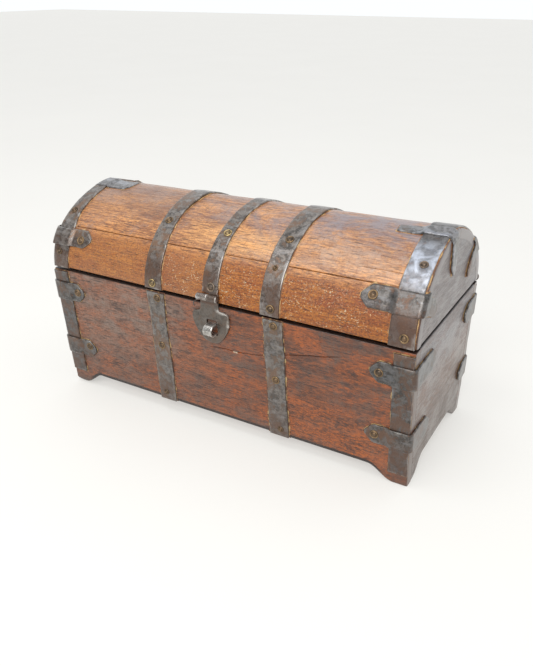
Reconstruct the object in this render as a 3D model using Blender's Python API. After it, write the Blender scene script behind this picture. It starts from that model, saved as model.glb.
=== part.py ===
"""Small wooden chest with a barrel lid, iron straps, a swinging hasp and two rear hinges.

Units are metres. +X runs along the chest to its right, the front faces -Y, and +Z is up. The
origin lies on the floor under the middle of the chest. The lid turns on the two pins behind the
seam, and the hasp plate turns on the pin that the middle lid band is curled round.
"""
import math

import bmesh
import bpy
import numpy as np
from mathutils import Matrix, Vector

# ---------------------------------------------------------------- driving dimensions
LENGTH = 0.380              # over the wooden ends of the body
DEPTH_TOP = 0.176           # body depth over the boards at its rim
DEPTH_FLOOR = 0.1524        # the same at the floor: front and back lean in towards the feet
BODY_TOP = 0.1358           # rim of the body
SEAM = 0.0030               # open line between the body and the lid
LID_RISE = 0.0705           # from the lid's bottom edge to the crown, at mid length
CROWN_TAPER = 0.045         # the lid rises this share more at its right end, less at its left
FRONT_WIDTH_POWER = 1.65    # exponents of the lid's rounded outline
BACK_WIDTH_POWER = 1.30
ARCH_HEIGHT_POWER = 2.25
LID_END_LEAN = 0.0008       # how far each lid end leans in at the crown
RAIL_TOP = 0.1795           # height of the joint between a lid rail and its curved plank
RIDGE_JOINT_Y = 0.006       # the two curved planks meet just behind the ridge
RAIL_STEPS = 7              # flats on a rail, shared by the wood and the bands over it
PLANK_STEPS = 10            # flats on a curved plank

BOARD = 0.0100              # thickness of the body boards
BOTTOM_THICKNESS = 0.0080
PLANK = 0.0090              # thickness of the lid planks
ARCH_LEFT = 0.0152          # height of the arch cut under the long boards, at its left end
ARCH_RIGHT = 0.0126         # and at its right end
ARCH_END = 0.0150           # the same under the end boards
FOOT_FLAT_LONG = 0.0150     # flat of a foot along the front
FOOT_FLAT_SHORT = 0.0140    # flat of a foot along the end
FOOT_CURVE = 0.0180         # run of the ogee from the flat up to the arch
FOOT_STEPS = 6

IRON = 0.0014               # thickness of the straps and bands
FORGED = 0.0018             # thickness of the hasp, the staple and the hinge leaves
GAP = 0.0003                # air between neighbours
PIN_RADIUS = 0.0013
NAIL_HEAD_RADIUS = 0.0038
NAIL_SHANK_RADIUS = 0.0013
NAIL_HOLE_RADIUS = 0.0017
NAIL_LENGTH = 0.0080
NAIL_HOLE_SPARE = 0.0006    # the hole runs this much past the nail's tip

CORNER_STRAP_WIDTH = 0.0180
CORNER_STRAP_FOOT = 0.0122
CORNER_STRAP_HEAD = 0.1325
EDGE_BAND_INSET = 0.0020    # wood left showing outside the edge band
RIDGE_LEG = 0.0350          # how far a ridge strap reaches down a lid end

# a body band: middle at its head, middle at its foot, width
BODY_BANDS = {-1: (-0.0624, -0.0627, 0.0186), 1: (0.0625, 0.0650, 0.0193)}
# a lid band, at shares of the lid's rise: (share, middle, width)
LID_BANDS = {
    "left": ((0.0, -0.0641, 0.0190), (0.48, -0.0650, 0.0176), (0.74, -0.0672, 0.0162),
             (0.88, -0.0681, 0.0160), (1.0, -0.0670, 0.0182)),
    "middle": ((0.0, -0.0004, 0.0166), (0.44, -0.0020, 0.0160), (0.73, -0.0030, 0.0140),
               (0.94, -0.0022, 0.0132), (1.0, 0.0000, 0.0142)),
    "right": ((0.0, 0.0596, 0.0186), (0.51, 0.0590, 0.0182), (0.72, 0.0589, 0.0188),
              (0.95, 0.0590, 0.0186), (1.0, 0.0610, 0.0200)),
}
# widths of the bands along the lid's ends, at shares of the lid's rise
EDGE_BANDS = {-1: ((0.0, 0.0180), (0.55, 0.0186), (0.72, 0.0145), (1.0, 0.0135)),
              1: ((0.0, 0.0215), (1.0, 0.0215))}
# a clip: low edge at the corner, width, reach along the long side, reach along the end,
# how far its tip on the end hangs lower
BODY_CLIPS = {
    ("front", "upper"): (0.1015, 0.0202, 0.0378, 0.0500, 0.0000),
    ("front", "lower"): (0.0388, 0.0192, 0.0405, 0.0434, 0.0020),
    ("back", "upper"): (0.1030, 0.0202, 0.0378, 0.0364, 0.0000),
    ("back", "lower"): (0.0388, 0.0192, 0.0405, 0.0274, 0.0000),
}
LID_CLIPS = {
    ("front", -1): (0.1624, 0.0152, 0.0455, 0.0345, 0.0120),
    ("front", 1): (0.1635, 0.0158, 0.0520, 0.0345, 0.0120),
    ("back", -1): (0.1690, 0.0160, 0.0480, 0.0450, 0.0190),
    ("back", 1): (0.1700, 0.0160, 0.0480, 0.0450, 0.0190),
}
# a ridge strap: its reach along the ridge, the length of its tapered end, and its front and back
# edges at the tip, behind the taper, before and on the band, at the corner and down the lid end
RIDGE_STRAPS = {
    -1: (0.0430, 0.0045, ((-0.0120, 0.0020), (-0.0186, 0.0022), (-0.0190, 0.0022), (-0.0188, 0.0020),
                          (-0.0184, 0.0014), (-0.0164, 0.0006), (-0.0154, -0.0008), (-0.0105, -0.0060))),
    1: (0.0475, 0.0025, ((-0.0206, -0.0116), (-0.0212, -0.0108), (-0.0216, -0.0066), (-0.0216, -0.0050),
                         (-0.0210, -0.0040), (-0.0176, -0.0042), (-0.0166, -0.0046), (-0.0108, -0.0068))),
}
# nails through the body bands and through the lid bands: (x, z) of the head
BODY_NAILS = {
    "left_upper": (-0.0603, 0.1302),
    "left_lower": (-0.0620, 0.0788),
    "right_upper": (0.0636, 0.1304),
    "right_lower": (0.0639, 0.0754),
}
LID_NAILS = {
    "left_upper": (-0.0682, 0.1930),
    "left_lower": (-0.0646, 0.1446),
    "middle_upper": (-0.0020, 0.1922),
    "middle_lower": (0.0000, 0.1548),
    "right_upper": (0.0594, 0.1950),
    "right_middle": (0.0577, 0.1768),
    "right_lower": (0.0607, 0.1458),
    "edge_upper": (0.1790, 0.1950),
    "edge_lower": (0.1794, 0.1470),
}
RAIL_NAILS = ("left_lower", "middle_lower", "right_middle", "right_lower", "edge_lower")

HASP_X = -0.0010            # middle of the hasp plate
HASP_PIN_Y = -0.0922
HASP_PIN_Z = 0.1443
HASP_KNUCKLE_HALF = 0.0100  # half length of the rolled barrel
HASP_TIP_Z = 0.0975
HASP_EAR_Z = 0.1248         # height where the plate is widest
HASP_SHOULDER_Z = 0.1315    # height where its ears meet the neck
HASP_EAR_HALF = 0.0195
HASP_NECK_HALF = 0.0093
HASP_SLOT = (0.1052, 0.1215)    # lower and upper edge of the slot
HASP_SLOT_HALF = 0.0062
HASP_CLEAR = 0.0007         # air between the plate's tip and the board
STAPLE_X = 0.0
STAPLE_Z = 0.1125
STAPLE_WIDTH = 0.0092
STAPLE_RADIUS = 0.0060      # outside of the staple's loop
STAPLE_CLENCH = 0.0080      # the staple's legs are bent over this far inside
REACH = 0.0974              # furthest point of the staple in front and of the hinges behind
HINGE_INNER, HINGE_MIDDLE, HINGE_OUTER = 0.1715, 0.1800, 0.1885
BODY_LEAF = (0.1240, 0.1290)    # heights of a hinge leaf's flat part on the body
LID_LEAF = (0.1560, 0.1490)     # the same on the lid
CURL_SWEEP = 285            # degrees that a strap's end is rolled round a pin

# ---------------------------------------------------------------- worked out from them
HALF_LENGTH = LENGTH / 2
LID_BOTTOM = BODY_TOP + SEAM
ON_WOOD = GAP                       # underside of iron that lies on wood
ON_IRON = 2 * GAP + IRON            # underside of iron that lies on other iron
CURL_RADIUS = PIN_RADIUS + GAP + FORGED / 2
HINGE_PIN_Y = REACH - CURL_RADIUS - FORGED / 2
HINGE_PIN_Z = BODY_TOP + SEAM / 2
FRONT, BACK = -1, 1
SIDE_NAMES = {FRONT: "front", BACK: "back"}
END_NAMES = {-1: "left", 1: "right"}


# ---------------------------------------------------------------- the chest's own surfaces
def body_half_depth(z):
    """Half the body's depth over its boards at height z."""
    return (DEPTH_FLOOR + (DEPTH_TOP - DEPTH_FLOOR) * z / BODY_TOP) / 2


def width_power(side):
    """Exponent of the front or the back of the lid's outline."""
    return FRONT_WIDTH_POWER if side < 0 else BACK_WIDTH_POWER


def arch_half_depth(z, side):
    """Half the lid's depth at height z."""
    rise = min(max((z - LID_BOTTOM) / LID_RISE, 0.0), 1.0)
    return DEPTH_TOP / 2 * (1 - rise ** ARCH_HEIGHT_POWER) ** (1 / width_power(side))


def arch_height(y):
    """Height of the lid's surface at depth y."""
    across = min(abs(y) / (DEPTH_TOP / 2), 1.0)
    return LID_BOTTOM + LID_RISE * (1 - across ** width_power(y)) ** (1 / ARCH_HEIGHT_POWER)


def lid_half_length(z):
    """Half the lid's length at height z: its ends lean in a little."""
    return HALF_LENGTH - LID_END_LEAN * (z - LID_BOTTOM) / LID_RISE


def arch_offset_depth(z, offset, side):
    """Half depth at height z of a surface that lies offset outside the lid."""
    step = 0.0004
    slope = (arch_half_depth(z + step, side) - arch_half_depth(z - step, side)) / (2 * step)
    return arch_half_depth(z, side) + offset * math.hypot(1, slope)


def tapered(point):
    """The point moved from the even arch to the real lid, whose crown rises to the right."""
    x, y, z = point
    growth = 1 + CROWN_TAPER * x / HALF_LENGTH
    return (x, y, LID_BOTTOM + (z - LID_BOTTOM) * growth)


class Arch:
    """The lid's outline, read by distance from its front bottom edge over to the back one."""

    def __init__(self):
        half_turn = np.linspace(0, math.pi, 2001)
        across = -np.cos(half_turn)
        power = np.where(across < 0, 2 / FRONT_WIDTH_POWER, 2 / BACK_WIDTH_POWER)
        y = np.sign(across) * np.abs(across) ** power
        z = np.abs(np.sin(half_turn)) ** (2 / ARCH_HEIGHT_POWER)
        self.y = y * DEPTH_TOP / 2
        self.z = LID_BOTTOM + z * LID_RISE
        run = np.hypot(np.diff(self.y), np.diff(self.z))
        self.s = np.concatenate([[0.0], np.cumsum(run)])
        self.total = self.s[-1]

    def point(self, s, offset=0.0):
        """Point (y, z) at distance s, moved out along the outline's normal."""
        y, z = np.interp(s, self.s, self.y), np.interp(s, self.s, self.z)
        near, far = max(s - 0.001, 0.0), min(s + 0.001, self.total)
        dy = np.interp(far, self.s, self.y) - np.interp(near, self.s, self.y)
        dz = np.interp(far, self.s, self.z) - np.interp(near, self.s, self.z)
        size = math.hypot(dy, dz)
        return (y - offset * dz / size, z + offset * dy / size)

    def at_height(self, z, side):
        """Distance along the outline of height z, on the front or the back."""
        half = len(self.s) // 2
        if side == FRONT:
            return float(np.interp(z, self.z[:half], self.s[:half]))
        return float(np.interp(-z, -self.z[half:], self.s[half:]))


ARCH = Arch()


def arch_stations():
    """Distances round the lid where wood and bands have their flats' edges."""
    joints = [0.0, ARCH.at_height(RAIL_TOP, FRONT),
              float(np.interp(RIDGE_JOINT_Y, ARCH.y, ARCH.s)),
              ARCH.at_height(RAIL_TOP, BACK), ARCH.total]
    stops = [0.0]
    counts = (RAIL_STEPS, PLANK_STEPS, PLANK_STEPS, RAIL_STEPS)
    for near, far, steps in zip(joints, joints[1:], counts):
        stops += [near + (far - near) * k / steps for k in range(1, steps + 1)]
    return stops


STATIONS = arch_stations()
LAST_STATION = len(STATIONS) - 1


# ---------------------------------------------------------------- materials
def principled(name, color, roughness, metallic=0.0):
    """A plain Principled material."""
    material = bpy.data.materials.new(name)
    material.use_nodes = True
    shader = material.node_tree.nodes["Principled BSDF"]
    shader.inputs["Base Color"].default_value = (*color, 1.0)
    shader.inputs["Roughness"].default_value = roughness
    shader.inputs["Metallic"].default_value = metallic
    material.diffuse_color = (*color, 1.0)
    return material


# ---------------------------------------------------------------- solids
def new_object(name, verts, faces, material):
    """An object from points and faces, with its faces turned outwards."""
    mesh = bpy.data.meshes.new(name)
    work = bmesh.new()
    points = [work.verts.new(v) for v in verts]
    for face in faces:
        work.faces.new([points[i] for i in face])
    bmesh.ops.remove_doubles(work, verts=work.verts, dist=1e-6)
    bmesh.ops.recalc_face_normals(work, faces=work.faces)
    if work.calc_volume(signed=True) < 0:
        bmesh.ops.reverse_faces(work, faces=work.faces)
    work.to_mesh(mesh)
    work.free()
    mesh.shade_smooth()
    mesh.set_sharp_from_angle(angle=math.radians(32))
    mesh.materials.append(material)
    thing = bpy.data.objects.new(name, mesh)
    bpy.context.scene.collection.objects.link(thing)
    return thing


def thick_sheet(name, low_rows, high_rows, material):
    """A closed sheet between two grids of points: the under side and the upper side."""
    rows, across = len(low_rows), len(low_rows[0])
    verts = [p for row in low_rows for p in row] + [p for row in high_rows for p in row]
    top = rows * across

    def low(i, j):
        return i * across + j

    faces = []
    for i in range(rows - 1):
        for j in range(across - 1):
            quad = [low(i, j), low(i, j + 1), low(i + 1, j + 1), low(i + 1, j)]
            faces.append(quad)
            faces.append([k + top for k in reversed(quad)])
    rim = [low(0, j) for j in range(across)]
    rim += [low(i, across - 1) for i in range(1, rows)]
    rim += [low(rows - 1, j) for j in range(across - 2, -1, -1)]
    rim += [low(i, 0) for i in range(rows - 2, 0, -1)]
    for a, b in zip(rim, rim[1:] + rim[:1]):
        faces.append([b, a, a + top, b + top])
    return new_object(name, verts, faces, material)


def prism(name, ring_a, ring_b, material):
    """A closed solid between two matching outlines."""
    count = len(ring_a)
    faces = [list(range(count)), list(range(2 * count - 1, count - 1, -1))]
    for i in range(count):
        j = (i + 1) % count
        faces.append([j, i, i + count, j + count])
    return new_object(name, list(ring_a) + list(ring_b), faces, material)


def spun(name, profile, segments, place, material):
    """A solid turned from (radius, height) points that start and end on the axis."""
    verts, faces, rings = [], [], []
    for radius, height in profile:
        count = 1 if radius == 0 else segments
        rings.append(range(len(verts), len(verts) + count))
        for k in range(count):
            turn = 2 * math.pi * k / segments
            at = Vector((radius * math.cos(turn), radius * math.sin(turn), height))
            verts.append(place @ at)
    for lower, upper in zip(rings, rings[1:]):
        for k in range(segments):
            a, b = lower[k % len(lower)], lower[(k + 1) % len(lower)]
            c, d = upper[(k + 1) % len(upper)], upper[k % len(upper)]
            corners = [a] + ([b] if b != a else []) + [c] + ([d] if d != c else [])
            faces.append(corners)
    return new_object(name, verts, faces, material)


def ribbon(name, path, widths, material, thickness=IRON):
    """A strap along a path of (y, z) points, with its own (x low, x high) at each point."""
    low_rows, high_rows = [], []
    for i, (y, z) in enumerate(path):
        before = path[max(i - 1, 0)]
        after = path[min(i + 1, len(path) - 1)]
        into = Vector((y - before[0], z - before[1]))
        out = Vector((after[0] - y, after[1] - z))
        into = into.normalized() if into.length > 0 else out.normalized()
        out = out.normalized() if out.length > 0 else into
        middle = (into + out).normalized()
        normal = Vector((-middle.y, middle.x))
        half = thickness / 2 / max(middle.dot(into), 0.5)
        x_low, x_high = widths[i]
        for rows, side in ((low_rows, -1), (high_rows, 1)):
            at = Vector((y, z)) + normal * half * side
            rows.append([(x_low, at.x, at.y), (x_high, at.x, at.y)])
    return thick_sheet(name, low_rows, high_rows, material)


def curl(centre, radius, start, sweep, steps=12):
    """Points of a strap's end rolled round a pin."""
    return [(centre[0] + radius * math.cos(math.radians(start + sweep * k / steps)),
             centre[1] + radius * math.sin(math.radians(start + sweep * k / steps)))
            for k in range(steps + 1)]


def cut(target, cutter):
    """Cut the target with the cutter, which stays hidden."""
    step = target.modifiers.new("cut_" + cutter.name, "BOOLEAN")
    step.operation = "DIFFERENCE"
    step.solver = "EXACT"
    step.object = cutter


def as_cutter(thing):
    """Keep a guide solid out of the finished model."""
    thing.hide_render = True
    thing.display_type = "WIRE"
    return thing


# ---------------------------------------------------------------- the wooden body
def foot_outline(half_width, flat, height_left, height_right):
    """Lower edge of a board from its left end to its right end: two feet and the arch."""
    def foot(end, height):
        outline = [(end * half_width, 0.0), (end * (half_width - flat), 0.0)]
        for k in range(1, FOOT_STEPS + 1):
            run = k / FOOT_STEPS
            rise = 0.5 - 0.5 * math.cos(math.pi * run)
            outline.append((end * (half_width - flat - FOOT_CURVE * run), height * rise))
        return outline

    return foot(-1, height_left) + foot(1, height_right)[::-1]


def arch_height_under(x):
    """Height of the arch under the long boards at x."""
    share = (x + HALF_LENGTH) / LENGTH
    return ARCH_LEFT + (ARCH_RIGHT - ARCH_LEFT) * share


def long_board(side, material):
    """Front or back board: it runs the full length and leans in towards the floor."""
    outline = foot_outline(HALF_LENGTH, FOOT_FLAT_LONG, ARCH_LEFT, ARCH_RIGHT)
    outline += [(HALF_LENGTH, BODY_TOP), (-HALF_LENGTH, BODY_TOP)]
    outer = [(x, side * body_half_depth(z), z) for x, z in outline]
    inner = [(x, side * (body_half_depth(z) - BOARD), z) for x, z in outline]
    return prism(SIDE_NAMES[side] + "_board", outer, inner, material)


def end_board(end, material):
    """Left or right board, caught between the front and the back ones."""
    inset = BOARD + GAP
    half_floor = body_half_depth(0) - inset
    flat = FOOT_FLAT_SHORT - inset
    outline = []
    for y, z in foot_outline(half_floor, flat, ARCH_END, ARCH_END):
        lean = body_half_depth(z) - body_half_depth(0)
        reach = abs(y) / half_floor
        outline.append((y + math.copysign(lean * reach, y), z))
    half_rim = body_half_depth(BODY_TOP) - inset
    outline += [(half_rim, BODY_TOP), (-half_rim, BODY_TOP)]
    outer = [(end * HALF_LENGTH, y, z) for y, z in outline]
    inner = [(end * (HALF_LENGTH - BOARD), y, z) for y, z in outline]
    return prism(END_NAMES[end] + "_end_board", outer, inner, material)


def bottom_board(material):
    """Floor of the chest, level with the top of the arches."""
    low = max(ARCH_LEFT, ARCH_END) + GAP
    high = low + BOTTOM_THICKNESS
    inset = BOARD + GAP
    outline = [(-body_half_depth(low) + inset, low), (body_half_depth(low) - inset, low),
               (body_half_depth(high) - inset, high), (-body_half_depth(high) + inset, high)]
    reach = HALF_LENGTH - BOARD - GAP
    return prism("bottom_board", [(-reach, y, z) for y, z in outline],
                 [(reach, y, z) for y, z in outline], material)


# ---------------------------------------------------------------- the wooden lid
def lid_plank(name, first, last, material):
    """A plank between two stations of the arch, with a hairline joint at its inner edges."""
    trim_first = 0 if first == 0 else GAP / 2
    trim_last = 0 if last == LAST_STATION else GAP / 2
    stops = STATIONS[first:last + 1]
    stops[0] += trim_first
    stops[-1] -= trim_last
    outer = [ARCH.point(s) for s in stops]
    inner = [ARCH.point(s, -PLANK) for s in reversed(stops)]
    flat_ends = [(y, max(z, LID_BOTTOM)) for y, z in inner]
    outline = outer + flat_ends
    return prism(name, [(-lid_half_length(z), y, z) for y, z in outline],
                 [(lid_half_length(z), y, z) for y, z in outline], material)


def lid_end(end, material):
    """Half-round end panel under the planks."""
    arc = [ARCH.point(s, -(PLANK + GAP)) for s in STATIONS]
    outline = [(y, max(z, LID_BOTTOM)) for y, z in arc]
    outer = [(end * lid_half_length(z), y, z) for y, z in outline]
    inner = [(end * (lid_half_length(z) - BOARD), y, z) for y, z in outline]
    return prism("lid_%s_end" % END_NAMES[end], outer, inner, material)


# ---------------------------------------------------------------- irons on the body
def body_band(side, end, material):
    """Upright band on the front or back, with its lower end turned under the board."""
    top_x, bottom_x, width = BODY_BANDS[end]
    lowest_arch = min(arch_height_under(bottom_x + shift) for shift in (-width / 2, width / 2))
    z_top, z_bottom = BODY_TOP - GAP, lowest_arch - GAP - IRON / 2
    middle = ON_WOOD + IRON / 2
    turned = BOARD - 2 * GAP
    path = [(side * (body_half_depth(z_top) + middle), z_top),
            (side * (body_half_depth(z_bottom) + middle), z_bottom),
            (side * (body_half_depth(z_bottom) + middle - turned), z_bottom)]
    centres = [top_x, bottom_x, bottom_x]
    widths = [(x - width / 2, x + width / 2) for x in centres]
    name = "%s_band_%s" % (SIDE_NAMES[side], END_NAMES[end])
    return ribbon(name, path, widths, material)


def corner_strap(side, end, material):
    """Flat strap up a corner of the front or back."""
    rows = []
    for offset in (ON_WOOD, ON_WOOD + IRON):
        rows.append([[(end * x, side * (body_half_depth(z) + offset), z)
                      for x in (HALF_LENGTH - CORNER_STRAP_WIDTH, HALF_LENGTH)]
                     for z in (CORNER_STRAP_FOOT, CORNER_STRAP_HEAD)])
    name = "corner_strap_%s_%s" % (SIDE_NAMES[side], END_NAMES[end])
    return thick_sheet(name, rows[0], rows[1], material)


def corner_clip(name, side, end, low, high, stations, surfaces, material, across=1):
    """A strap bent round a corner, with pointed tips.

    Each station is (leg, distance from the corner, half height kept, drop, offset). The leg is
    "front", "corner" or "end", half height kept runs from 0 at a tip to 1, and drop lowers the
    strap there. surfaces(side) gives half depth with an offset, and half length, at a height.
    """
    depth_at, length_at = surfaces(side)
    middle, half = (low + high) / 2, (high - low) / 2
    grids = []
    for lift in (0.0, IRON):
        rows = []
        for leg, distance, kept, drop, offset in stations:
            row = []
            for j in range(across + 1):
                z = middle - drop + half * kept * (2 * j / across - 1)
                if leg == "front":
                    x, y = length_at(z) - distance, depth_at(z, offset + lift)
                elif leg == "corner":
                    x, y = length_at(z) + ON_WOOD + lift, depth_at(z, offset + lift)
                else:
                    x, y = length_at(z) + offset + lift, depth_at(z, 0.0) - distance
                row.append((end * x, side * y, z))
            rows.append(row)
        grids.append(rows)
    return thick_sheet(name, grids[0], grids[1], material)


def body_surfaces(side):
    """Half depth with an offset, and half length, of the body at a height."""
    return (lambda z, offset: body_half_depth(z) + offset, lambda z: HALF_LENGTH)


def lid_surfaces(side):
    """Half depth with an offset, and half length, of the lid at a height."""
    return (lambda z, offset: arch_offset_depth(z, offset, side), lid_half_length)


TIP_KEPT = 0.12             # a clip's blunt nose, as a share of its width


def clip_stations(front_reach, end_reach, strap_edge, end_drop):
    """Stations of a clip that steps over a strap on the front leg and lies flat on the end."""
    point, step = 0.0075, 0.0020
    return [("front", front_reach, TIP_KEPT, 0.0, ON_WOOD),
            ("front", front_reach - point, 1.0, 0.0, ON_WOOD),
            ("front", strap_edge + step + GAP, 1.0, 0.0, ON_WOOD),
            ("front", strap_edge + GAP, 1.0, 0.0, ON_IRON),
            ("corner", 0.0, 1.0, 0.0, ON_IRON),
            ("end", end_reach - point, 1.0, end_drop * 0.85, ON_WOOD),
            ("end", end_reach, TIP_KEPT, end_drop, ON_WOOD)]


# ---------------------------------------------------------------- irons on the lid
def lid_band(name, widths_at, material, first=0, lead=()):
    """A band over the arch from a station on; lead holds (point, width) pairs before it."""
    path = [point for point, width in lead]
    widths = [width for point, width in lead]
    for s in STATIONS[first:]:
        y, z = ARCH.point(s, ON_WOOD + IRON / 2)
        path.append((y, max(z, LID_BOTTOM + GAP)))
        widths.append(widths_at(z))
    return ribbon(name, path, widths, material)


def rise_share(z):
    """Height z on the even arch as a share of the lid's rise."""
    return min(max((z - LID_BOTTOM) / LID_RISE, 0.0), 1.0)


def drifting_width(places):
    """Width of a band whose middle and width change with the lid's rise."""
    shares, middles, widths = zip(*places)

    def at(z):
        middle = float(np.interp(rise_share(z), shares, middles))
        half = float(np.interp(rise_share(z), shares, widths)) / 2
        return (middle - half, middle + half)
    return at


def edge_band_width(end):
    """Width of the band along a lid end, which follows the lean of the end."""
    shares, widths = zip(*EDGE_BANDS[end])

    def at(z):
        far = lid_half_length(z) - EDGE_BAND_INSET
        near = far - float(np.interp(rise_share(z), shares, widths))
        return (min(end * near, end * far), max(end * near, end * far))
    return at


def ridge_strap(end, material):
    """Strap along the ridge that folds down over a lid end."""
    reach, point, spans = RIDGE_STRAPS[end]
    on_band = HALF_LENGTH - EDGE_BAND_INSET - EDGE_BANDS[end][-1][1] - LID_END_LEAN
    step, leg_point = 0.0025, 0.0080
    # leg, place along it, front and back edge, offset
    stations = [("top", HALF_LENGTH - reach, spans[0], ON_WOOD),
                ("top", HALF_LENGTH - reach + point, spans[1], ON_WOOD),
                ("top", on_band - step - 2 * GAP, spans[2], ON_WOOD),
                ("top", on_band - 2 * GAP, spans[2], ON_IRON),
                ("top", on_band + 0.0110, spans[3], ON_IRON),
                ("corner", 0.0, spans[4], ON_IRON),
                ("end", 0.0100, spans[5], 3 * GAP),
                ("end", RIDGE_LEG - leg_point, spans[6], 3 * GAP),
                ("end", RIDGE_LEG, spans[7], ON_WOOD)]
    across = 6
    grids = []
    for lift in (0.0, IRON):
        rows = []
        for leg, place, (front_y, back_y), offset in stations:
            row = []
            for j in range(across + 1):
                y = front_y + (back_y - front_y) * j / across
                crown = arch_height(y)
                if leg == "top":
                    x, z = place, crown + offset + lift
                elif leg == "corner":
                    x, z = lid_half_length(crown) + 4 * GAP + lift, crown + offset + lift
                else:
                    z = crown - place
                    x = lid_half_length(z) + offset + lift
                row.append((end * x, y, z))
            rows.append(row)
        grids.append(rows)
    return thick_sheet("ridge_strap_" + END_NAMES[end], grids[0], grids[1], material)


# ---------------------------------------------------------------- hinges, hasp and staple
def mirrored(span, end):
    """An x span on the left or the right half of the chest."""
    return (min(end * span[0], end * span[1]), max(end * span[0], end * span[1]))


def hinge_leaf(end, on_lid, material):
    """A short leaf behind the seam whose end is rolled round the hinge pin."""
    whole = mirrored((HINGE_INNER, HINGE_OUTER), end)
    inner = mirrored((HINGE_INNER, HINGE_MIDDLE - GAP / 2), end)
    outer = mirrored((HINGE_MIDDLE + GAP / 2, HINGE_OUTER), end)
    upward = 1 if on_lid else -1
    tangent_y = HINGE_PIN_Y - CURL_RADIUS
    start_z = HINGE_PIN_Z + upward * (CURL_RADIUS + 0.0010)
    on_iron = ON_IRON + FORGED / 2
    if on_lid:
        leaf = [(arch_offset_depth(z, on_iron, BACK), z) for z in LID_LEAF]
    else:
        leaf = [(body_half_depth(z) + on_iron, z) for z in BODY_LEAF]
    leaf.append((tangent_y, start_z + upward * 0.0008))
    roll = curl((HINGE_PIN_Y, HINGE_PIN_Z), CURL_RADIUS, 180, upward * CURL_SWEEP)
    part = outer if on_lid else inner
    path = leaf + [(tangent_y, start_z)] + roll
    widths = [whole] * len(leaf) + [part] * (len(roll) + 1)
    name = "hinge_leaf_%s_%s" % ("lid" if on_lid else "body", END_NAMES[end])
    return ribbon(name, path, widths, material, FORGED)


def pin(name, low_x, high_x, y, z, material):
    """A hinge pin along X with a small head at each end."""
    head, head_length = PIN_RADIUS + GAP + 0.0008, 0.0008
    profile = [(0.0, low_x - head_length), (head * 0.7, low_x - head_length), (head, low_x),
               (PIN_RADIUS, low_x), (PIN_RADIUS, high_x), (head, high_x),
               (head * 0.7, high_x + head_length), (0.0, high_x + head_length)]
    place = Matrix.Translation((0, y, z)) @ Matrix.Rotation(math.pi / 2, 4, "Y")
    return spun(name, profile, 10, place, material)


def middle_lid_band(material):
    """The middle band: its front end is rolled round the hasp's pin on the right half."""
    knuckle = (HASP_X + GAP / 2, HASP_X + HASP_KNUCKLE_HALF)
    width_at = drifting_width(LID_BANDS["middle"])
    tangent = (HASP_PIN_Y + CURL_RADIUS, HASP_PIN_Z)
    roll = curl((HASP_PIN_Y, HASP_PIN_Z), CURL_RADIUS, CURL_SWEEP, -CURL_SWEEP)
    lead = [(point, knuckle) for point in roll]
    lead.append(((tangent[0], HASP_PIN_Z + 0.0033), knuckle))
    lead.append(((tangent[0] + 0.0001, HASP_PIN_Z + 0.0041), width_at(HASP_PIN_Z)))
    first = 2
    return lid_band("lid_band_middle", width_at, material, first=first, lead=lead)


def hasp_half_width(z):
    """Half width of the hasp plate: neck, two rounded ears and a rounded tip."""
    if z >= HASP_SHOULDER_Z:
        return HASP_NECK_HALF
    if z >= HASP_EAR_Z:
        rise = (z - HASP_EAR_Z) / (HASP_SHOULDER_Z - HASP_EAR_Z)
        ear = math.sqrt(max(1 - rise ** 2.4, 0.0))
        return HASP_NECK_HALF + (HASP_EAR_HALF - HASP_NECK_HALF) * ear
    fall = (HASP_EAR_Z - z) / (HASP_EAR_Z - HASP_TIP_Z)
    return HASP_EAR_HALF * (1 - fall ** 2.1) ** 0.72


def hasp_plate(material):
    """The plate: a knuckle on the left half of the pin, a slot for the staple."""
    knuckle = (HASP_X - HASP_KNUCKLE_HALF, HASP_X - GAP / 2)
    top_y = HASP_PIN_Y + CURL_RADIUS
    tip_y = -(body_half_depth(HASP_TIP_Z) + HASP_CLEAR + FORGED / 2)
    path, widths = [], []
    for point in curl((HASP_PIN_Y, HASP_PIN_Z), CURL_RADIUS, -CURL_SWEEP, CURL_SWEEP):
        path.append(point)
        widths.append(knuckle)
    path.append((top_y, HASP_PIN_Z - CURL_RADIUS - 0.0007))
    widths.append(knuckle)
    drops = (0.0, 0.03, 0.12, 0.33, 0.66, 1.0)
    heights = [HASP_PIN_Z - 0.0039, HASP_SHOULDER_Z + 0.0015]
    heights += [HASP_SHOULDER_Z - (HASP_SHOULDER_Z - HASP_EAR_Z) * k for k in drops]
    falls = (0.12, 0.25, 0.40, 0.55, 0.69, 0.82, 0.91, 0.965, 0.993)
    heights += [HASP_EAR_Z - (HASP_EAR_Z - HASP_TIP_Z) * k for k in falls]
    for z in heights:
        drop = (HASP_PIN_Z - z) / (HASP_PIN_Z - HASP_TIP_Z)
        half = hasp_half_width(z)
        path.append((top_y + (tip_y - top_y) * drop, z))
        widths.append((HASP_X - half, HASP_X + half))
    plate = ribbon("hasp_plate", path, widths, material, FORGED)
    low, high = HASP_SLOT
    half = HASP_SLOT_HALF
    corners = [(-half, low), (half, low), (half, high), (-half, high)]
    near, far = -body_half_depth(HASP_TIP_Z) + BOARD / 2, -REACH - GAP
    slot = prism("hasp_slot_cutter", [(STAPLE_X + x, near, z) for x, z in corners],
                 [(STAPLE_X + x, far, z) for x, z in corners], material)
    cut(plate, as_cutter(slot))
    return plate, slot


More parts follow.
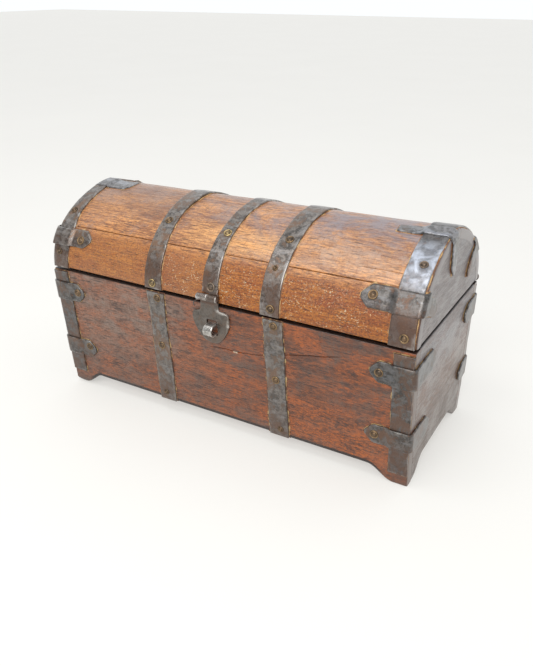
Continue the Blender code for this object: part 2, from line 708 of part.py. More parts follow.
def staple(front_board, material):
    """A strip bent to a loop, driven through the front board and clenched inside."""
    radius = STAPLE_RADIUS - FORGED / 2
    centre_y = -(REACH - STAPLE_RADIUS)
    clench = STAPLE_CLENCH
    top_z, low_z = STAPLE_Z + radius, STAPLE_Z - radius

    def inside(z):
        return -(body_half_depth(z) - BOARD) + 2 * GAP + FORGED / 2

    path = [(inside(top_z + clench), top_z + clench), (inside(top_z), top_z)]
    path += curl((centre_y, STAPLE_Z), radius, 90, 180, 10)
    path += [(inside(low_z), low_z), (inside(low_z - clench), low_z - clench)]
    widths = [(STAPLE_X - STAPLE_WIDTH / 2, STAPLE_X + STAPLE_WIDTH / 2)] * len(path)
    loop = ribbon("staple", path, widths, material, FORGED)
    half_x, half_z = STAPLE_WIDTH / 2 + GAP, FORGED / 2 + GAP
    inner_y, outer_y = -DEPTH_TOP / 2 + 2 * BOARD, -DEPTH_TOP / 2 - BOARD / 2
    for name, z in (("upper", top_z), ("lower", low_z)):
        corners = [(-half_x, z - half_z), (half_x, z - half_z),
                   (half_x, z + half_z), (-half_x, z + half_z)]
        cutter = prism("staple_slot_cutter_" + name,
                       [(STAPLE_X + x, inner_y, zz) for x, zz in corners],
                       [(STAPLE_X + x, outer_y, zz) for x, zz in corners], material)
        cut(front_board, as_cutter(cutter))
    return loop


# ---------------------------------------------------------------- nails
def nail_place(point, normal):
    """Frame with its Z along the outward normal and its origin under the nail's head."""
    turn = Vector((0, 0, 1)).rotation_difference(Vector(normal)).to_matrix().to_4x4()
    return Matrix.Translation(point) @ turn


def body_nail_place(x, z):
    """Place of a nail head on a band of the front board."""
    lean = math.atan((DEPTH_TOP - DEPTH_FLOOR) / 2 / BODY_TOP)
    offset = ON_IRON
    at = Vector((x, -(body_half_depth(z) + offset), z))
    return nail_place(at, (0, -math.cos(lean), -math.sin(lean)))


def lid_nail_place(x, z):
    """Place of a nail head on a band over the front of the lid."""
    growth = 1 + CROWN_TAPER * x / HALF_LENGTH
    s = ARCH.at_height(LID_BOTTOM + (z - LID_BOTTOM) / growth, FRONT)
    under = Vector(tapered((x, *ARCH.point(s, ON_IRON))))
    above = Vector(tapered((x, *ARCH.point(s, ON_IRON + 0.01))))
    return nail_place(under, (above - under).normalized())


def nail(name, place, material):
    """A nail with a domed head."""
    r = NAIL_HEAD_RADIUS
    profile = [(0.0, -NAIL_LENGTH), (NAIL_SHANK_RADIUS, -NAIL_LENGTH + 0.0015),
               (NAIL_SHANK_RADIUS, 0.0), (r, 0.0), (r, 0.0004), (r * 0.78, 0.0012),
               (r * 0.42, 0.0017), (0.0, 0.0019)]
    return spun(name, profile, 10, place, material)


def nail_hole_cutter(name, place, material):
    """Guide solid for a nail's hole, a little longer and wider than the shank."""
    depth, above = NAIL_LENGTH + NAIL_HOLE_SPARE, 2 * GAP
    profile = [(0.0, -depth), (NAIL_HOLE_RADIUS, -depth), (NAIL_HOLE_RADIUS, above),
               (0.0, above)]
    return as_cutter(spun(name, profile, 10, place, material))


# ---------------------------------------------------------------- assembly
def hang_on(axis, things):
    """Parent things to an axis empty and give each its origin on that axis."""
    at = axis.matrix_world.translation.copy()
    for thing in things:
        thing.data.transform(Matrix.Translation(-at))
        thing.parent = axis


def axis_empty(name, at, parent=None):
    """An empty on a joint's axis."""
    empty = bpy.data.objects.new(name, None)
    bpy.context.scene.collection.objects.link(empty)
    empty.empty_display_size = 0.02
    empty.location = Vector(at)
    if parent is not None:
        empty.parent = parent
        empty.location = Vector(at) - parent.location
    return empty


def main():
    for thing in list(bpy.data.objects):
        bpy.data.objects.remove(thing, do_unlink=True)

    body_wood = principled("body_wood", (0.190, 0.058, 0.026), 0.42)
    lid_wood = principled("lid_wood", (0.330, 0.125, 0.040), 0.42)
    iron = principled("strap_iron", (0.085, 0.070, 0.062), 0.48, 0.8)
    worn_iron = principled("worn_iron", (0.190, 0.172, 0.160), 0.38, 0.9)
    nail_iron = principled("nail_iron", (0.150, 0.095, 0.055), 0.45, 0.8)

    # body
    boards = {side: long_board(side, body_wood) for side in (FRONT, BACK)}
    for end in (-1, 1):
        end_board(end, body_wood)
    bottom_board(body_wood)
    front_bands = {}
    for end in (-1, 1):
        front_bands[end] = body_band(FRONT, end, iron)
        body_band(BACK, end, iron)
    for side in (FRONT, BACK):
        for end in (-1, 1):
            corner_strap(side, end, iron)
            for level in ("upper", "lower"):
                word = SIDE_NAMES[side]
                low, width, long_reach, end_reach, drop = BODY_CLIPS[(word, level)]
                stations = clip_stations(long_reach, end_reach, CORNER_STRAP_WIDTH, drop)
                name = "clip_%s_%s_%s" % (level, word, END_NAMES[end])
                corner_clip(name, side, end, low, low + width, stations, body_surfaces, iron)
    staple(boards[FRONT], worn_iron)

    # lid
    ridge = RAIL_STEPS + PLANK_STEPS
    rear_rail = ridge + PLANK_STEPS
    planks = [lid_plank("lid_front_rail", 0, RAIL_STEPS, lid_wood),
              lid_plank("lid_front_plank", RAIL_STEPS, ridge, lid_wood),
              lid_plank("lid_rear_plank", ridge, rear_rail, lid_wood),
              lid_plank("lid_rear_rail", rear_rail, LAST_STATION, lid_wood)]
    lid_parts = list(planks)
    lid_parts += [lid_end(end, lid_wood) for end in (-1, 1)]
    edge_bands = {end: lid_band("lid_edge_band_" + END_NAMES[end], edge_band_width(end), iron)
                  for end in (-1, 1)}
    lid_bands = {word: lid_band("lid_band_" + word, drifting_width(LID_BANDS[word]), iron)
                 for word in ("left", "right")}
    lid_bands["middle"] = middle_lid_band(iron)
    lid_parts += list(edge_bands.values()) + list(lid_bands.values())
    for side in (FRONT, BACK):
        for end in (-1, 1):
            word = SIDE_NAMES[side]
            low, width, long_reach, end_reach, drop = LID_CLIPS[(word, end)]
            band_edge = EDGE_BANDS[end][1][1] + EDGE_BAND_INSET
            stations = clip_stations(long_reach, end_reach, band_edge, drop)
            name = "lid_clip_%s_%s" % (word, END_NAMES[end])
            lid_parts.append(corner_clip(name, side, end, low, low + width,
                                         stations, lid_surfaces, iron, across=4))
    lid_parts += [ridge_strap(end, iron) for end in (-1, 1)]
    for thing in lid_parts:
        for vertex in thing.data.vertices:
            vertex.co = tapered(vertex.co)

    # hinges: the lid leaf turns with the lid, the body leaf and the pin stay
    for end in (-1, 1):
        hinge_leaf(end, False, iron)
        lid_parts.append(hinge_leaf(end, True, iron))
        span = mirrored((HINGE_INNER - GAP, HINGE_OUTER + GAP), end)
        pin("hinge_pin_" + END_NAMES[end], span[0], span[1], HINGE_PIN_Y, HINGE_PIN_Z, worn_iron)

    # hasp
    lid_parts.append(pin("hasp_pin", HASP_X - HASP_KNUCKLE_HALF - GAP,
                         HASP_X + HASP_KNUCKLE_HALF + GAP, HASP_PIN_Y, HASP_PIN_Z, worn_iron))
    plate, slot_cutter = hasp_plate(worn_iron)

    # nails through the bands and into the wood
    body_places = {word: body_nail_place(*at) for word, at in BODY_NAILS.items()}
    lid_places = {word: lid_nail_place(*at) for word, at in LID_NAILS.items()}
    for word, place in body_places.items():
        nail("body_nail_" + word, place, nail_iron)
        cutter = nail_hole_cutter("body_nail_hole_" + word, place, iron)
        band = front_bands[-1] if word.startswith("left") else front_bands[1]
        cut(boards[FRONT], cutter)
        cut(band, cutter)
    rail, front_plank = planks[0], planks[1]
    lid_bands["edge"] = edge_bands[1]
    for word, place in lid_places.items():
        lid_parts.append(nail("lid_nail_" + word, place, nail_iron))
        cutter = nail_hole_cutter("lid_nail_hole_" + word, place, iron)
        cut(rail if word in RAIL_NAILS else front_plank, cutter)
        cut(lid_bands[word.split("_")[0]], cutter)
        lid_parts.append(cutter)

    # joints: the lid turns on its hinge pins, the hasp turns on the lid
    lid_axis = axis_empty("lid_axis", (0, HINGE_PIN_Y, HINGE_PIN_Z))
    hasp_axis = axis_empty("hasp_axis", (HASP_X, HASP_PIN_Y, HASP_PIN_Z), lid_axis)
    bpy.context.view_layer.update()
    hang_on(lid_axis, lid_parts)
    hang_on(hasp_axis, [plate, slot_cutter])
    bpy.context.view_layer.update()


main()
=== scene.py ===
import math

import bmesh
import bpy
import numpy as np
from mathutils import Matrix, Vector, noise


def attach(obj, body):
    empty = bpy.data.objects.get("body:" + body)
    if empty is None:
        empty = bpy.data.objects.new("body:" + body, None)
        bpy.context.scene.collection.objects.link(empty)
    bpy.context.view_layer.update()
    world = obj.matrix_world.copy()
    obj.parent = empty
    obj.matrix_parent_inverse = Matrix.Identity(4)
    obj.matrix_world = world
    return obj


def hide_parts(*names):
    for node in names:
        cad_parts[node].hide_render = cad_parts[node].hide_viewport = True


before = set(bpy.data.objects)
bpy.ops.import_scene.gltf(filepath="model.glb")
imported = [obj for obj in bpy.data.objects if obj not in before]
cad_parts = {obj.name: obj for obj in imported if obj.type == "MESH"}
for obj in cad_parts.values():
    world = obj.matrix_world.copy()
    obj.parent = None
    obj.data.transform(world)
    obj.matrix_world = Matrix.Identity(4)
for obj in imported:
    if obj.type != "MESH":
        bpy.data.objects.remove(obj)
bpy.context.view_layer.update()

# ------------------------------------------------------------------ the chest's dimensions, in metres
LENGTH = 0.380
HALF_LENGTH = LENGTH / 2
DEPTH_TOP, DEPTH_FLOOR = 0.176, 0.1524
BODY_TOP = 0.1358
SEAM = 0.0030
LID_BOTTOM = BODY_TOP + SEAM
LID_RISE = 0.0705
CROWN_TAPER = 0.045
FRONT_WIDTH_POWER, BACK_WIDTH_POWER, ARCH_HEIGHT_POWER = 1.65, 1.30, 2.25
LID_END_LEAN = 0.0008
RAIL_TOP = 0.1795
RIDGE_JOINT_Y = 0.006
BOARD, PLANK, BOTTOM_THICKNESS = 0.0100, 0.0090, 0.0080
ARCH_LEFT, ARCH_RIGHT, ARCH_END = 0.0152, 0.0126, 0.0150
FOOT_FLAT_LONG, FOOT_FLAT_SHORT, FOOT_CURVE = 0.0130, 0.0140, 0.0250
IRON, FORGED = 0.0014, 0.0018
GAP = 0.0003
ON_WOOD, ON_IRON = GAP, 2 * GAP + IRON
PIN_RADIUS = 0.0013
REACH = 0.0974
CURL_RADIUS = PIN_RADIUS + GAP + FORGED / 2
HINGE_PIN_Y, HINGE_PIN_Z = REACH - CURL_RADIUS - FORGED / 2, BODY_TOP + SEAM / 2
HINGE_INNER, HINGE_MIDDLE, HINGE_OUTER = 0.1715, 0.1800, 0.1885
HASP_X, HASP_PIN_Y, HASP_PIN_Z = -0.0010, -0.0922, 0.1443
HASP_KNUCKLE_HALF = 0.0100
STAPLE_Z = 0.1125
FRONT, BACK = -1, 1
SIDE_NAMES = {FRONT: "front", BACK: "back"}
END_NAMES = {-1: "left", 1: "right"}
CORNERS = [(side, end) for side in (FRONT, BACK) for end in (-1, 1)]


# ------------------------------------------------------------------ its surfaces
def clamp(value):
    return min(max(value, 0.0), 1.0)


def ease(value):
    value = clamp(value)
    return value * value * (3 - 2 * value)


def between(value, table, column=1):
    """A column of a table at a value of its first column."""
    return float(np.interp(value, [row[0] for row in table], [row[column] for row in table]))


def body_half_depth(z):
    return (DEPTH_FLOOR + (DEPTH_TOP - DEPTH_FLOOR) * z / BODY_TOP) / 2


def width_power(side):
    return FRONT_WIDTH_POWER if side < 0 else BACK_WIDTH_POWER


def rise_share(z):
    return clamp((z - LID_BOTTOM) / LID_RISE)


def arch_half_depth(z, side):
    return DEPTH_TOP / 2 * (1 - rise_share(z) ** ARCH_HEIGHT_POWER) ** (1 / width_power(side))


def arch_height(y):
    across = min(abs(y) / (DEPTH_TOP / 2), 1.0)
    return LID_BOTTOM + LID_RISE * (1 - across ** width_power(y)) ** (1 / ARCH_HEIGHT_POWER)


def lid_half_length(z):
    return HALF_LENGTH - LID_END_LEAN * (z - LID_BOTTOM) / LID_RISE


def arch_offset_depth(z, offset, side):
    """Half depth at a height, measured to a surface that lies offset outside the arch."""
    step = 0.0004
    slope = (arch_half_depth(z + step, side) - arch_half_depth(z - step, side)) / (2 * step)
    return arch_half_depth(z, side) + offset * math.hypot(1, slope)


def tapered(point):
    """The crown rises a little towards the right end."""
    x, y, z = point
    return (x, y, LID_BOTTOM + (z - LID_BOTTOM) * (1 + CROWN_TAPER * x / HALF_LENGTH))


class Arch:
    """The lid's outline, measured by the distance s round it from the front rim."""

    def __init__(self):
        half_turn = np.linspace(0, math.pi, 4001)
        across = -np.cos(half_turn)
        power = np.where(across < 0, 2 / FRONT_WIDTH_POWER, 2 / BACK_WIDTH_POWER)
        self.y = np.sign(across) * np.abs(across) ** power * DEPTH_TOP / 2
        self.z = LID_BOTTOM + np.abs(np.sin(half_turn)) ** (2 / ARCH_HEIGHT_POWER) * LID_RISE
        run = np.hypot(np.diff(self.y), np.diff(self.z))
        self.s = np.concatenate([[0.0], np.cumsum(run)])
        self.total = self.s[-1]

    def point(self, s, offset=0.0):
        y, z = np.interp(s, self.s, self.y), np.interp(s, self.s, self.z)
        near, far = max(s - 0.002, 0.0), min(s + 0.002, self.total)
        dy = np.interp(far, self.s, self.y) - np.interp(near, self.s, self.y)
        dz = np.interp(far, self.s, self.z) - np.interp(near, self.s, self.z)
        size = math.hypot(dy, dz)
        return (float(y - offset * dz / size), float(z + offset * dy / size))

    def at_height(self, z, side):
        half = len(self.s) // 2
        if side == FRONT:
            return float(np.interp(z, self.z[:half], self.s[:half]))
        return float(np.interp(-z, -self.z[half:], self.s[half:]))

    def at_depth(self, y):
        return float(np.interp(y, self.y, self.s))


ARCH = Arch()


def rumple(point, size, seed=0.0):
    """Smooth noise from -1 to 1 with features of about that size."""
    return noise.noise(Vector(point) / size + Vector((seed, 1.7 * seed, -seed)))


def rounded(distance, radius):
    """How far a rounded edge has dropped at a distance from the border."""
    if distance >= radius:
        return 0.0
    return radius - math.sqrt(max(radius ** 2 - (radius - max(distance, 0.0)) ** 2, 0.0))


def spread(low, high, step, fine=0.0):
    """Stations from low to high about a step apart, closer together at both borders."""
    count = max(int(round((high - low) / step)), 2)
    stops = list(np.linspace(low, high, count + 1))
    if fine:
        for k in (0.1, 0.3, 0.6, 1.0):
            stops += [low + fine * k, high - fine * k]
        stops.sort()
        kept = [stops[0]]
        for s in stops[1:]:
            if s - kept[-1] > fine * 0.05:
                kept.append(s)
        stops = kept
        stops[-1] = high
    return stops


# ------------------------------------------------------------------ meshes
def finish_mesh(name, work, material, sharp=38):
    """An object from a bmesh, with one material or a list of them; sharp is in degrees."""
    bmesh.ops.remove_doubles(work, verts=work.verts, dist=2e-6)
    bmesh.ops.recalc_face_normals(work, faces=work.faces)
    if work.calc_volume(signed=True) < 0:
        bmesh.ops.reverse_faces(work, faces=work.faces)
    mesh = bpy.data.meshes.new(name)
    work.to_mesh(mesh)
    work.free()
    mesh.shade_smooth()
    mesh.set_sharp_from_angle(angle=math.radians(sharp))
    for item in material if isinstance(material, list) else [material]:
        mesh.materials.append(item)
    piece = bpy.data.objects.new(name, mesh)
    bpy.context.scene.collection.objects.link(piece)
    return piece


def add_sheet(work, rows):
    """A closed sheet from rows of cells; a cell is (low point, high point, mark); the mark is wear, except on
    the long boards, where it is painted shade.
    """
    count, across = len(rows), len(rows[0])
    layer = work.verts.layers.float.get("wear") or work.verts.layers.float.new("wear")
    lows = [[work.verts.new(cell[0]) for cell in row] for row in rows]
    highs = [[work.verts.new(cell[1]) for cell in row] for row in rows]
    for i, row in enumerate(rows):
        for j, cell in enumerate(row):
            lows[i][j][layer] = highs[i][j][layer] = cell[2]
    faces = []
    for i in range(count - 1):
        for j in range(across - 1):
            faces.append([lows[i][j], lows[i][j + 1], lows[i + 1][j + 1], lows[i + 1][j]])
            faces.append([highs[i + 1][j], highs[i + 1][j + 1], highs[i][j + 1], highs[i][j]])
    rim = [(0, j) for j in range(across)] + [(i, across - 1) for i in range(1, count)]
    rim += [(count - 1, j) for j in range(across - 2, -1, -1)] + [(i, 0) for i in range(count - 2, 0, -1)]
    for (i, j), (k, m) in zip(rim, rim[1:] + rim[:1]):
        faces.append([lows[k][m], lows[i][j], highs[i][j], highs[k][m]])
    for face in faces:
        work.faces.new(face)


def sheet(name, rows, material, sharp=38):
    work = bmesh.new()
    add_sheet(work, rows)
    return finish_mesh(name, work, material, sharp)


def place(piece, body, slot, *nodes):
    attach(piece, body)
    if nodes:
        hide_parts(*nodes)
    return piece


# ------------------------------------------------------------------ node materials
class Nodes:
    """Short calls for building a material; color is the surface's colour so far.

    Every value may be a number, a colour, a socket, or a soft step of a socket, which is written
    (socket, low, high) or (socket, low, high, value at low, value at high).
    """

    def __init__(self, name):
        self.material = bpy.data.materials.new(name)
        self.material.use_nodes = True
        self.tree = self.material.node_tree
        self.shader = self.tree.nodes["Principled BSDF"]
        self.place = self.tree.nodes.new("ShaderNodeTexCoord").outputs["Object"]
        self.x, self.y, self.z = self.node("ShaderNodeSeparateXYZ", self.place).outputs
        self.color = None

    def put(self, value, socket):
        if isinstance(value, tuple) and isinstance(value[0], bpy.types.NodeSocket):
            value = self.range(*value)
        if isinstance(value, bpy.types.NodeSocket):
            self.tree.links.new(value, socket)
        else:
            socket.default_value = value

    def node(self, kind, *values, **settings):
        """A node with these settings, and these values in its first inputs."""
        made = self.tree.nodes.new(kind)
        for key, value in settings.items():
            setattr(made, key, value)
        for value, socket in zip(values, made.inputs):
            self.put(value, socket)
        return made

    def named(self, kind, **values):
        """The output of a node whose inputs are given by name."""
        made = self.tree.nodes.new(kind)
        for key, value in values.items():
            self.put(value, made.inputs[key])
        return made.outputs[0]

    def math(self, operation, a, b=0.0):
        return self.node("ShaderNodeMath", a, b, operation=operation).outputs[0]

    def times(self, product, *others):
        for other in others:
            product = self.math("MULTIPLY", product, other)
        return product

    def total(self, *parts):
        """The sum of (value, weight) parts."""
        amounts = [self.times(value, weight) for value, weight in parts]
        whole = amounts[0]
        for amount in amounts[1:]:
            whole = self.math("ADD", whole, amount)
        return whole

    def mix(self, factor, a, b):
        made = self.node("ShaderNodeMix", factor, data_type="RGBA")
        for value, socket in ((a, made.inputs[6]), (b, made.inputs[7])):
            self.put((*value, 1.0) if isinstance(value, tuple) else value, socket)
        return made.outputs[2]

    def paint(self, tone, *factors):
        """Lays a tone over the colour so far, as far as the product of the factors says."""
        self.color = self.mix(self.times(*factors), self.color, tone)

    def range(self, value, low, high, to_low=0.0, to_high=1.0, kind="SMOOTHSTEP"):
        return self.node("ShaderNodeMapRange", value, low, high, to_low, to_high,
                         interpolation_type=kind).outputs[0]

    def window(self, value, rise, fall, kind="SMOOTHSTEP"):
        """One between two soft borders, each given as where it is 0 and where it is 1."""
        return self.times(self.range(value, *rise, kind=kind), self.range(value, *fall, kind=kind))

    def noise(self, scale, detail=3.0, rough=0.55, distort=0.0, turn=(0.0, 0.0, 0.0)):
        """Noise from 0 to 1; scale is in features per metre, the same or one for each axis."""
        scale = scale if isinstance(scale, tuple) else (scale,) * 3
        where = self.named("ShaderNodeMapping", Vector=self.place, Rotation=turn, Scale=scale)
        return self.named("ShaderNodeTexNoise", Vector=where, Scale=1.0, Detail=detail, Roughness=rough,
                          Distortion=distort)

    def ramp(self, value, *stops):
        made = self.node("ShaderNodeValToRGB", value)
        elements = made.color_ramp.elements
        while len(elements) < len(stops):
            elements.new(0.5)
        for element, (at, color) in zip(elements, stops):
            element.position, element.color = at, (*color, 1.0)
        return made.outputs[0]

    def wear(self):
        return self.node("ShaderNodeAttribute", attribute_name="wear").outputs["Fac"]

    def bump(self, height, strength, distance):
        return self.named("ShaderNodeBump", Strength=strength, Distance=distance, Height=height)

    def blacken_seam_rims(self):
        """The black rims where the lid meets the body."""
        body_rim, lid_rim = (BODY_TOP - 0.0008, BODY_TOP - 0.0002), (LID_BOTTOM + 0.0006, LID_BOTTOM + 0.0001)
        self.paint((0.010, 0.006, 0.005), self.window(self.z, body_rim, lid_rim, "LINEAR"), 0.93)

    def finish(self, **values):
        """Sets the shader's inputs and gives the material."""
        for key, value in values.items():
            self.put(value, self.shader.inputs[key.replace("_", " ")])
        if self.color is not None:
            self.put(self.color, self.shader.inputs["Base Color"])
        return self.material


def wood(name, tones, part, coat=1.0, coat_rough=0.30, patina=1.0, rub_share=0.85):
    """Old waxed wood of a part: body, body_end, lid or lid_end.

    tones are the pores, the dark and light grain, the rubbed orange patches and the grey patina.
    """
    n = Nodes(name)
    pores_tone, dark, light, rubbed, grey = tones
    x, y, z = n.x, n.y, n.z

    def grain(long, across, *settings):
        return n.noise((across, long, across) if part.endswith("end") else (long, across, across), *settings)

    broad, streaks = grain(9, 50, 4.0, 0.62, 0.5), grain(55, 560, 5.0, 0.70, 0.4)
    fine, pores = grain(230, 1250, 3.0, 0.62, 0.2), grain(140, 1500, 2.0, 0.55)
    cloud, spots = grain(20, 34, 6.0, 0.72, 0.6), grain(230, 620, 4.0, 0.70, 0.3)
    areas, scratch = grain(26, 60, 3.0, 0.60, 0.4), grain(520, 60, 4.0, 0.66, 0.6)
    marks, strokes = grain(900, 170, 3.0, 0.62, 0.4), grain(85, 900, 3.0, 0.6, 0.3)
    grit = n.noise(1500, 2.0, 0.5)
    worn = n.total((cloud, 0.48), (scratch, 0.24), (spots, 0.28))
    pore = n.times((pores, 0.56, 0.68), 0.80)

    tone = n.total((broad, 0.34), (streaks, 0.42), (fine, 0.24))
    n.color = n.mix((tone, 0.42, 0.59), dark, light)
    n.paint(rubbed, (spots, 0.47, 0.60), (cloud, 0.58, 0.44),
            (areas, 0.38, 0.60, 0.25, 1.0), rub_share)
    n.paint(grey, (worn, 0.49, 0.59), 0.80 * patina)
    if part == "body":
        # a painted sheen on the upper left (a greyish haze standing for reflected light), orange areas, dull
        # spots, a pale chip by the crack, a warm lower right
        n.paint((0.235, 0.168, 0.132), (x, 0.045, -0.100), (z, 0.030, 0.090, 0.35, 1.0),
                (worn, 0.36, 0.58, 0.15, 0.75))
        n.paint((0.300, 0.072, 0.012), (areas, 0.44, 0.60), (x, -0.16, 0.04, 0.35, 0.80),
                (fine, 0.40, 0.60, 0.35, 1.0))
        n.paint((0.040, 0.020, 0.015), (n.noise((60, 160, 160), 5.0, 0.70), 0.53, 0.64), 0.70)
        n.paint((0.560, 0.440, 0.320), n.window(x, (0.0190, 0.0200), (0.0245, 0.0235)),
                n.window(z, (0.0914, 0.0920), (0.0933, 0.0928)), (y, 0.02, -0.02), 0.85)
        n.paint(rubbed, (z, 0.085, 0.030), (x, -0.02, 0.10),
                (spots, 0.44, 0.60, 0.0, 0.65))
    if part == "body_end":
        # painted reflection: darker brown towards the bottom of the end boards, bluish grey towards their top
        n.paint((0.065, 0.040, 0.026), (z, 0.100, 0.020), (cloud, 0.30, 0.60, 0.90, 0.55))
        n.paint((0.150, 0.160, 0.190), (z, 0.070, 0.125), (cloud, 0.30, 0.60, 0.35, 0.70))
    n.paint(pores_tone, pore)
    n.paint(dark, (grit, 0.50, 0.72, 0.0, 0.35))
    if part == "lid":
        # the crown's greyish lilac, a painted sheen of the bright room; its darker left end; an amber middle;
        # and a pale right, a painted highlight
        n.paint((0.200, 0.180, 0.210), (z, 0.188, 0.206), (cloud, 0.40, 0.58, 0.10, 0.55),
                (x, -0.08, 0.09, 0.22, 1.35))
        n.paint((0.190, 0.085, 0.040), (x, -0.045, -0.085), (z, 0.185, 0.202, 0.0, 0.42))
        n.paint((0.800, 0.430, 0.160), n.window(x, (-0.060, -0.020), (0.080, 0.040)),
                n.window(z, (0.178, 0.186), (0.200, 0.192)), (streaks, 0.40, 0.60, 0.15, 0.45))
        # painted highlight: a pale tone on the right of the lid at mid height, where the light from above is
        # reflected
        n.paint((0.700, 0.460, 0.300), (x, 0.030, 0.100), n.window(z, (0.178, 0.188), (0.206, 0.196)),
                (cloud, 0.38, 0.60, 0.05, 0.32))
        # the golden front rail and its pale specks
        rail = n.times((z, 0.1800, 0.1725), (y, -0.055, -0.062))
        dots = n.noise((620, 850, 850), 3.0, 0.66)
        gold = n.mix((streaks, 0.42, 0.58), (0.225, 0.052, 0.003), (0.330, 0.100, 0.007))
        gold = n.mix((n.noise((16, 40, 40)), 0.50, 0.64), gold, (0.200, 0.038, 0.004))
        gold = n.mix((dots, 0.52, 0.62, 0.0, 0.85), gold, (0.060, 0.017, 0.004))
        gold = n.mix((dots, 0.44, 0.36, 0.0, 0.60), gold, (0.440, 0.180, 0.024))
        pale = n.times((x, 0.020, -0.030, 0.0, 0.27), (fine, 0.40, 0.60, 0.5, 1.0))
        n.paint(n.mix(pale, gold, (0.480, 0.260, 0.120)), rail, 0.90)
        n.paint((0.620, 0.500, 0.330), (n.noise((640, 800, 800), 2.0, 0.6), 0.600, 0.650),
                (n.noise((55, 110, 110), 3.0, 0.6), 0.40, 0.60), rail,
                n.window(x, (-0.085, -0.030), (0.190, 0.160)), (z, 0.1760, 0.1700), 0.75)
        # dark borders at both ends
        n.paint((0.045, 0.026, 0.018), (grit, 0.40, 0.66, 1.0, 0.55),
                (n.math("ABSOLUTE", x), HALF_LENGTH - 0.0028, HALF_LENGTH - 0.0018))
    n.blacken_seam_rims()
    n.paint((0.060, 0.038, 0.028), (z, 0.020, 0.002), (worn, 0.36, 0.56), 0.75)
    # painted shade: the long boards' marked lower edge is painted near-black
    n.paint((0.006, 0.004, 0.004), n.wear(), 0.96)
    n.paint(dark, (marks, 0.54, 0.66, 0.0, 0.45))
    n.paint(pores_tone, (strokes, 0.57, 0.68, 0.0, 0.75))
    gleam = (n.total((streaks, 0.45), (cloud, 0.55)), 0.42, 0.58, coat * 0.45, coat)
    if part == "lid":
        gleam = n.times(gleam, (z, 0.172, 0.184, 0.12, 1.0))
    height = n.total((streaks, 0.8), (pore, -0.6), (fine, 0.30), (grit, 0.15))
    return n.finish(Roughness=n.range(n.total((spots, 0.5), (fine, 0.5)), 0.38, 0.62, 0.40, 0.58),
                    Normal=n.bump(height, 0.70, 0.0005), Coat_Weight=gleam, Coat_Roughness=coat_rough,
                    Coat_Normal=n.bump(n.total((streaks, 1.0), (cloud, 1.5)), 0.35, 0.0006))


def end_grain(name, tones, coat):
    n = Nodes(name)
    pores_tone, dark, light, rubbed, _ = tones
    rings = n.noise((60, 60, 420), 4.0, 0.6, 0.5, (0.25, 0.0, 0.0))
    specks = n.noise(1300, 2.0, 0.5)
    n.color = n.ramp(rings, (0.32, dark), (0.52, light), (0.74, rubbed))
    n.paint(pores_tone, (specks, 0.56, 0.66, 0.0, 0.8))
    n.blacken_seam_rims()
    return n.finish(Roughness=n.range(rings, 0.3, 0.7, 0.40, 0.58), Coat_Weight=coat, Coat_Roughness=0.30,
                    Normal=n.bump(n.total((rings, 1.0), (specks, 0.4)), 0.4, 0.0004))


def iron(name, steel, rust, bright=(0.50, 0.48, 0.46), rust_share=0.5, rough=(0.36, 0.55), metallic=0.75,
         polish_and_highlight=False, coat=0.8, uneven=1.0):
    """Hand-forged iron: dark steel, brown rust under old wax, and metal rubbed by hands, with painted
    highlights on the hasp's ear and the right edge band.
    """
    n = Nodes(name)
    patch, grain = n.noise((38, 38, 30), 6.0, 0.68, 0.7), n.noise((190, 190, 150), 6.0, 0.72, 0.5)
    pits, dust = n.noise(1300, 2.0, 0.6), n.noise(620, 3.0, 0.66)
    wiped = n.total((n.noise((90, 90, 300), 3.0, 0.60, 0.5), 0.6), (patch, 0.4))
    mixed = n.total((patch, 0.55), (grain, 0.45))
    rust_from = 0.585 - 0.17 * rust_share
    n.color = n.mix((grain, 0.42, 0.58, 0.0, uneven), steel, tuple(0.22 * c for c in steel))
    n.paint(tuple(k * c for k, c in zip((1.5, 1.65, 1.85), steel)), (wiped, 0.50, 0.38), 0.60 * uneven)
    n.paint(rust, (mixed, rust_from, rust_from + 0.08), 0.80)
    # browner over the lid's front rail and towards the feet
    brown = n.math("MAXIMUM", n.window(n.z, (0.176, 0.160), (0.1365, 0.1380)),
                   (n.z, 0.060, 0.020, 0.0, 0.8))
    n.paint((0.095, 0.046, 0.028), brown, (patch, 0.38, 0.58, 0.15, 0.75))
    n.paint((0.300, 0.240, 0.170), (dust, 0.62, 0.70, 0.0, 0.35 * uneven))
    n.paint((0.018, 0.014, 0.012), (dust, 0.40, 0.32, 0.0, 0.60))
    # rubbed bright metal along worn borders; on the hasp's upper right ear this is a painted highlight
    n.paint(bright, n.wear(), (n.noise((130, 130, 70)), 0.47, 0.62), 0.60)
    roughness = (n.total((mixed, 0.7), (pits, 0.3)), 0.38, 0.64, *rough)
    # on the right edge band the rubbed zone is smoother, and a pale blue painted highlight is laid into its
    # colour
    if polish_and_highlight:
        highlight_zone = n.times(n.window(n.z, (0.179, 0.194), (0.212, 0.203)), (n.y, -0.022, -0.040),
                       (n.noise((70, 70, 60), 4.0, 0.6, 0.6), 0.36, 0.60, 0.25, 1.0))
        n.paint((0.640, 0.690, 0.800), highlight_zone, 0.85)
        roughness = n.math("SUBTRACT", roughness, n.times(highlight_zone, 0.10))
    height = n.total((patch, 0.8), (grain, 0.45), (pits, 0.12))
    return n.finish(Roughness=roughness, Metallic=metallic, Normal=n.bump(height, 0.65, 0.0007),
                    Coat_Weight=coat, Coat_Roughness=0.32)


